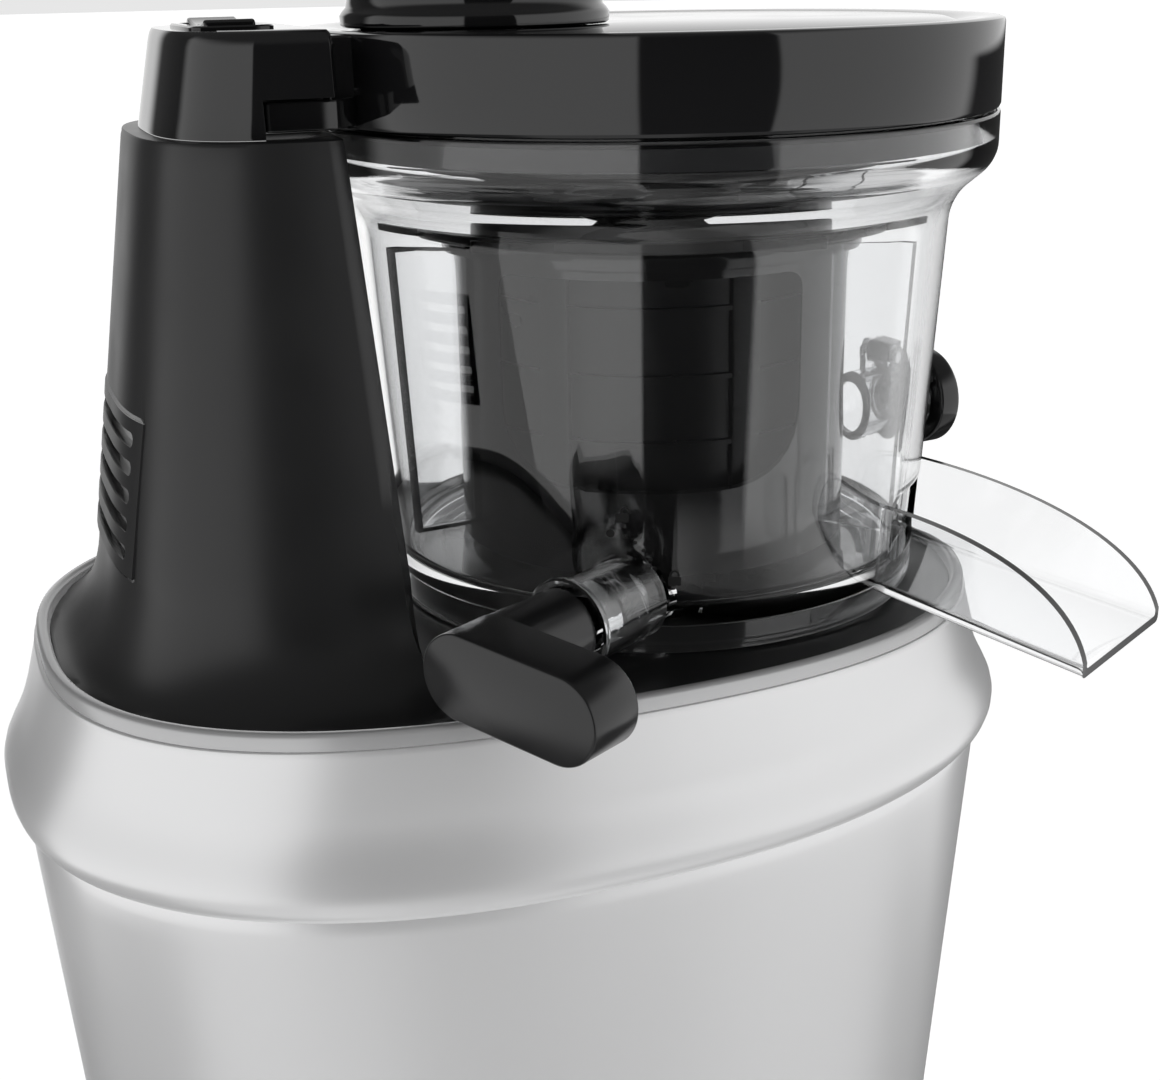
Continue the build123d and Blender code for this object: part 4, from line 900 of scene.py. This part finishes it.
def add_padlock(angle, z, is_open):
    """A generic padlock: a body with a bow over it, which leans aside when open."""
    add_mark(soften([(-1.3, -1.7), (1.3, -1.7), (1.3, 0.2), (-1.3, 0.2)], 0.3, 2), angle, z)
    shift = 0.7 if is_open else 0.0
    bow = [(shift + 1.0 * cos(pi * i / 10), 0.6 + 1.0 * sin(pi * i / 10)) for i in range(11)]
    inner = [(shift + 0.6 * cos(pi * i / 10), 0.6 + 0.6 * sin(pi * i / 10)) for i in range(10, -1, -1)]
    ends = [(shift - 1.0, 0.2), (shift - 0.6, 0.2)]
    add_mark([(shift + 1.0, 0.2)] + bow + ends + inner + [(shift + 0.6, 0.2)], angle, z)


for mark_z, mark_angle, is_open in ((206.9, -119.0, True), (193.3, -109.3, False)):
    add_padlock(mark_angle, mark_z, is_open)
# the dotted arc between the padlocks, with a larger dot at each end
for mark_angle, mark_z, size in (
    (-121.2, 202.8, 0.85), (-118.4, 202.3, 0.4), (-116.6, 201.0, 0.4), (-115.1, 199.3, 0.4),
    (-113.9, 197.4, 0.4), (-113.0, 195.3, 0.5), (-112.2, 192.9, 0.85),
):
    add_mark(disc_outline(size), mark_angle, mark_z)
bowl_marks = new_piece("bowl_marks", marks_points, marks_faces)
dress(bowl_marks, "base", printed)

# ------------------------------------------------------------------ control lever
lever_outline = []
lever_half = 8.5
lever_reach = 23.0              # hub centre to the centre of the far end's rounding
for i in range(33):
    angle = lever_tilt - pi / 2 + pi * i / 32
    across = lever_reach * cos(lever_tilt) + lever_half * cos(angle)
    lever_outline.append((across, lever_reach * sin(lever_tilt) + lever_half * sin(angle)))
for i in range(33):
    angle = lever_tilt + pi / 2 + pi * i / 32
    lever_outline.append((lever_half * cos(angle), lever_half * sin(angle)))
lever_origin = from_bowl(lever_angle, lever_front, lever_offset, lever_z)
lever_push = outwards(lever_angle) * -lever_depth
lever = prism("lever_block", lever_outline, lever_origin, leftwards(lever_angle), UP, lever_push)
break_edges(lever, 0.55, 3, 50.0)
settle(lever)
collar_rows = [(71.8, 7.6), (72.2, 8.2), (84.0, 8.3), (86.5, 8.3), (90.5, 8.4)]
lever_collar = rod("lever_collar", lever_angle, lever_offset, lever_z, 0, 0, collar_rows)
dress(lever, "lever", lever_black, ["control_lever"], 40.0)
dress(lever_collar, "lever", lever_black, (), 40.0)
plug_radius = 6.55
plug_rows = [(52.0, 3.6), (52.5, 5.4), (53.6, 6.3), (55.2, plug_radius), (62.0, plug_radius)]
plug_rows += [(62.4, 6.1), (63.6, 6.1), (64.0, plug_radius), (71.8, plug_radius)]
lever_plug = rod("lever_plug_body", lever_angle, lever_offset, lever_z, 0, 0, plug_rows)
dress(lever_plug, "lever", clear_plastic, ["lever_plug"], 40.0)

# ------------------------------------------------------------------ juice outlet cap
outlet_radius = 11.8
cap_outline = disc_outline(outlet_radius, 64)
cap_origin = from_bowl(spout_angle, spout_end + 0.3, 0.0, spout_z)
cap_push = outwards(spout_angle) * 6.0
outlet_cap = prism("outlet_cap", cap_outline, cap_origin, leftwards(spout_angle), UP, cap_push)
knuckle_radius = 2.9
knuckle_rings = []
for side in (-4.8, 4.8):
    ring = []
    for i in range(25):
        angle = pi / 2 + pi * i / 24
        along = knuckle_along + knuckle_radius * cos(angle)
        ring.append(from_bowl(spout_angle, along, side, knuckle_z + knuckle_radius * sin(angle)))
    ring.append(from_bowl(spout_angle, spout_end + 1.4, side, knuckle_z - knuckle_radius))
    ring.append(from_bowl(spout_angle, spout_end + 1.4, side, knuckle_z + knuckle_radius))
    knuckle_rings.append(ring)
break_edges(outlet_cap, 1.0, 4, 50.0)
settle(outlet_cap)
gather(outlet_cap, [skin("knuckle", knuckle_rings)])
dress(outlet_cap, "juice_cap", gloss_black, ["juice_cap"], 40.0)

# ------------------------------------------------------------------ cage and strainer
cage_radius = 44.0
gear_top_z = 195.0
cage_profile = [(41.6, gear_top_z - 1.0), (cage_radius, gear_top_z - 1.0), (cage_radius, 251.6)]
cage_profile += [(cage_radius + 0.4, 252.0), (46.0, 252.2), (46.0, 255.4), (45.6, 256.0), (43.4, 256.0)]
cage_profile += [(43.0, 255.6), (43.0, 252.4), (41.6, 252.0)]
cage = lathe("cage_shell", cage_profile, (bowl_x, 0), closed=True)
window_corners = [(-31.0, -22.0), (31.0, -22.0), (31.0, 22.0), (-31.0, 22.0)]
for angle in (-114.0, 6.0, 126.0):
    opening = soften(window_corners, [17.0, 17.0, 4.0, 4.0], 8)
    origin = from_bowl(angle, 10.0, 0.0, 228.0)
    cut(cage, prism("cutter", opening, origin, leftwards(angle), UP, outwards(angle) * 60.0))
break_edges(cage, 0.5, 3, 40.0)


def toothed_ring(name, module, teeth, outer_radius, low_z, high_z):
    """A ring with round-crested inner teeth."""
    pitch = module * teeth / 2
    steps = 16
    count = teeth * steps
    inner = []
    outer = []
    for i in range(count):
        angle = 2 * pi * i / count
        wave = cos(teeth * angle)
        swing = abs(wave) ** 0.6 * (1 if wave > 0 else -1)
        radius = pitch + module * 0.2 - module * swing
        inner.append((radius * cos(angle), radius * sin(angle)))
        outer.append((outer_radius * cos(angle), outer_radius * sin(angle)))
    rings = []
    for outline, z in ((inner, low_z), (outer, low_z), (outer, high_z), (inner, high_z)):
        rings.append([(bowl_x + x, y, z) for x, y in outline])
    return skin(name, rings, closed=True)


cage_gear = toothed_ring("cage_gear", 1.5, 50, cage_radius, 188.0, gear_top_z)
dress(cage, "brush", smoke, ["brush_frame"], 40.0)
dress(cage_gear, "brush", smoke, (), 40.0)

# painted shade: thin dark frames along the edges of the clear wiper blade stand in for the dark look of its
# edges
flap = [(cage_radius, 193.0), (57.2, 193.0), (60.6, 255.0), (cage_radius, 255.0)]
flap_inside = [(cage_radius + 0.9, 193.9), (56.4, 193.9), (59.6, 254.1), (cage_radius + 0.9, 254.1)]
flap_half = 1.04
flap_sides = [(flap, -flap_half), (flap_inside, -flap_half), (flap_inside, flap_half), (flap, flap_half)]
flap_rings = []
for outline, side in flap_sides:
    flap_rings.append([from_bowl(186.0, along, side, z) for along, z in outline])
wiper_painted_edge_shade = skin("wiper_painted_edge_shade", flap_rings, closed=True)
dress(wiper_painted_edge_shade, "brush", edge_shade_painted, (), 40.0)
frame["nodes"]["brush_wipers"].data.materials[0] = clear_plastic

strainer_radius = 39.4
strainer_low_z = 199.0
collar_profile = [(36.6, 254.0), (strainer_radius, 254.0), (strainer_radius, 257.0), (50.6, 257.0)]
collar_profile += [(51.0, 257.4), (51.0, 259.6), (50.6, 260.0), (40.0, 260.0), (strainer_radius, 260.6)]
collar_profile += [(strainer_radius, 265.6), (39.0, 266.0), (37.0, 266.0), (36.6, 265.6)]
strainer = lathe("strainer_collar", collar_profile, (bowl_x, 0), closed=True)
floor_profile = [(19.2, strainer_low_z), (39.0, strainer_low_z), (strainer_radius, 199.4)]
floor_profile += [(strainer_radius, 201.2), (39.0, 201.6), (19.2, 201.6)]
extras = [lathe("strainer_floor", floor_profile, (bowl_x, 0), closed=True)]
for i in range(6):
    angle = 36.0 + 60.0 * i
    bar = soften([(-3.5, -1.4), (3.5, -1.4), (3.5, 1.4), (-3.5, 1.4)], 0.6, 2)
    origin = from_bowl(angle, 38.2, 0.0, strainer_low_z + 1.0)
    extras.append(prism("bar", bar, origin, leftwards(angle), outwards(angle), (0, 0, 56.0)))
    tab = soften([(-9.0, 48.5), (9.0, 48.5), (4.4, 60.2), (-4.4, 60.2)], 0.8, 2)
    origin = from_bowl(angle, 0.0, 0.0, 257.2)
    extras.append(prism("tab", tab, origin, leftwards(angle), outwards(angle), (0, 0, 2.6)))
for z in (215.0, 229.0, 243.0):
    rib = [(38.3, z - 0.7), (39.5, z - 0.5), (39.5, z + 0.5), (38.3, z + 0.7)]
    extras.append(lathe("rib", rib, (bowl_x, 0), closed=True))
gather(strainer, extras)
dress(strainer, "base", pale_smoke, ["strainer_frame"], 40.0)

sheet_in = 38.0
sheet_out = 38.6
screen_profile = [(sheet_in, screen_low[2]), (sheet_out, screen_low[2])]
screen_profile += [(sheet_out, screen_high[2]), (sheet_in, screen_high[2])]
screen = lathe("strainer_sheet", screen_profile, (bowl_x, 0), closed=True, count=180)
dress(screen, "base", pale_smoke, ["strainer_screen"], 40.0)

# ------------------------------------------------------------------ stage
floor_radius = 15000.0
ground_z = -0.2
floor_points = [(x, y, ground_z) for x, y in disc_outline(floor_radius, 96)]
floor = new_piece("floor", floor_points, [tuple(range(len(floor_points)))])
floor_shader = Shader("floor_paper")
floor_shader.tint(floor_shader.noise(3.0), (0.84, 0.84, 0.84), (0.86, 0.86, 0.86))
floor_shader.surface.inputs["Roughness"].default_value = 0.9
floor_shader.surface.inputs["Emission Color"].default_value = (1, 1, 1, 1)
floor_shader.surface.inputs["Emission Strength"].default_value = 0.75
floor.data.materials.append(floor_shader.material)
# reflections and what is seen through clear parts take their light from the sky, not from the floor
floor.visible_glossy = False
floor.visible_transmission = False

world = bpy.data.worlds.new("studio")
bpy.context.scene.world = world
world.use_nodes = True
sky = world.node_tree
sky.nodes.clear()


def sky_math(operation, first, second=0.0, third=0.0):
    """The result of a math node; each value is a number or another node's output."""
    node = sky.nodes.new("ShaderNodeMath")
    node.operation = operation
    for socket, value in zip(node.inputs, (first, second, third)):
        if isinstance(value, (int, float)):
            socket.default_value = value
        else:
            sky.links.new(value, socket)
    return node.outputs[0]


def sky_step(source, edge, soft):
    """0 below the edge and 1 above it, with a soft change."""
    node = sky.nodes.new("ShaderNodeMapRange")
    node.interpolation_type = "SMOOTHSTEP"
    node.inputs["From Min"].default_value = edge - soft
    node.inputs["From Max"].default_value = edge + soft
    sky.links.new(source, node.inputs["Value"])
    return node.outputs["Result"]


direction = sky.nodes.new("ShaderNodeTexCoord").outputs["Generated"]
split = sky.nodes.new("ShaderNodeSeparateXYZ")
sky.links.new(direction, split.inputs["Vector"])
bearing = sky_math("MULTIPLY", sky_math("ARCTAN2", split.outputs["Y"], split.outputs["X"]), 180 / pi)
height = split.outputs["Z"]
open_sky = 1.35
ceiling = 0.22
backdrop = 1.0                  # what the camera itself sees
brightness = open_sky
upper = sky_step(height, -0.53, 0.03)
lower = sky_math("SUBTRACT", 1.0, upper)
below = sky_math("SUBTRACT", 1.0, sky_step(height, -0.01, 0.02))
seen_through = sky.nodes.new("ShaderNodeLightPath").outputs["Is Transmission Ray"]
below = sky_math("MULTIPLY", below, sky_math("SUBTRACT", 1.0, seen_through))
# zones: from bearing, to bearing, edge softness, brightness inside, where in height it holds;
# a later zone covers an earlier one
for low, high, soft, level, where in (
    (-181.0, 181.0, 0.5, 0.72, lower),
    (-97.0, -57.0, 8.0, 0.38, lower),
    (-57.0, -14.0, 8.0, 0.68, lower),
    (-117.0, -73.0, 1.0, 0.04, upper),
    (104.0, 148.0, 6.0, 0.12, upper),
    (104.0, 186.0, 6.0, 0.08, lower),
    (-186.0, -160.0, 8.0, 0.15, lower),
    (10.0, 75.0, 5.0, 0.06, below),
    (-14.0, 12.0, 8.0, 0.08, lower),
):
    rising = sky_step(bearing, low, soft)
    falling = sky_math("SUBTRACT", 1.0, sky_step(bearing, high, soft))
    inside = sky_math("MULTIPLY", rising, falling)
    inside = sky_math("MULTIPLY", inside, where)
    delta = sky_math("SUBTRACT", level, brightness)
    brightness = sky_math("MULTIPLY_ADD", inside, delta, brightness)
overhead = sky_step(height, 0.5, 0.15)
brightness = sky_math("MULTIPLY_ADD", overhead, sky_math("SUBTRACT", ceiling, brightness), brightness)
is_camera = sky.nodes.new("ShaderNodeLightPath").outputs["Is Camera Ray"]
brightness = sky_math("MULTIPLY_ADD", is_camera, sky_math("SUBTRACT", backdrop, brightness), brightness)
background = sky.nodes.new("ShaderNodeBackground")
world_output = sky.nodes.new("ShaderNodeOutputWorld")
sky.links.new(brightness, background.inputs["Strength"])
sky.links.new(background.outputs["Background"], world_output.inputs["Surface"])

# ------------------------------------------------------------------ camera
camera_place = Vector((-114.9, -347.0, 309.4)) * MM
camera_bearing = Vector((0.358, 0.934, 0.0)).normalized()
camera_pitch = radians(18.75)
camera_roll = radians(1.1)
forward = camera_bearing * cos(camera_pitch) - UP * sin(camera_pitch)
right = Vector((camera_bearing.y, -camera_bearing.x, 0))
upward = right.cross(forward)
rolled_right = right * cos(camera_roll) - upward * sin(camera_roll)
rolled_up = upward * cos(camera_roll) + right * sin(camera_roll)
camera_data = bpy.data.cameras.new("camera")
camera_data.sensor_fit = "HORIZONTAL"
camera_data.sensor_width = 36.0
camera_data.lens = 52.57
camera_data.clip_start = 0.01
camera_data.clip_end = 40.0
camera = bpy.data.objects.new("camera", camera_data)
bpy.context.scene.collection.objects.link(camera)
turn = Matrix((rolled_right, rolled_up, -forward)).transposed().to_4x4()
camera.matrix_world = Matrix.Translation(camera_place) @ turn
bpy.context.scene.camera = camera
bpy.context.scene.view_settings.view_transform = "Standard"
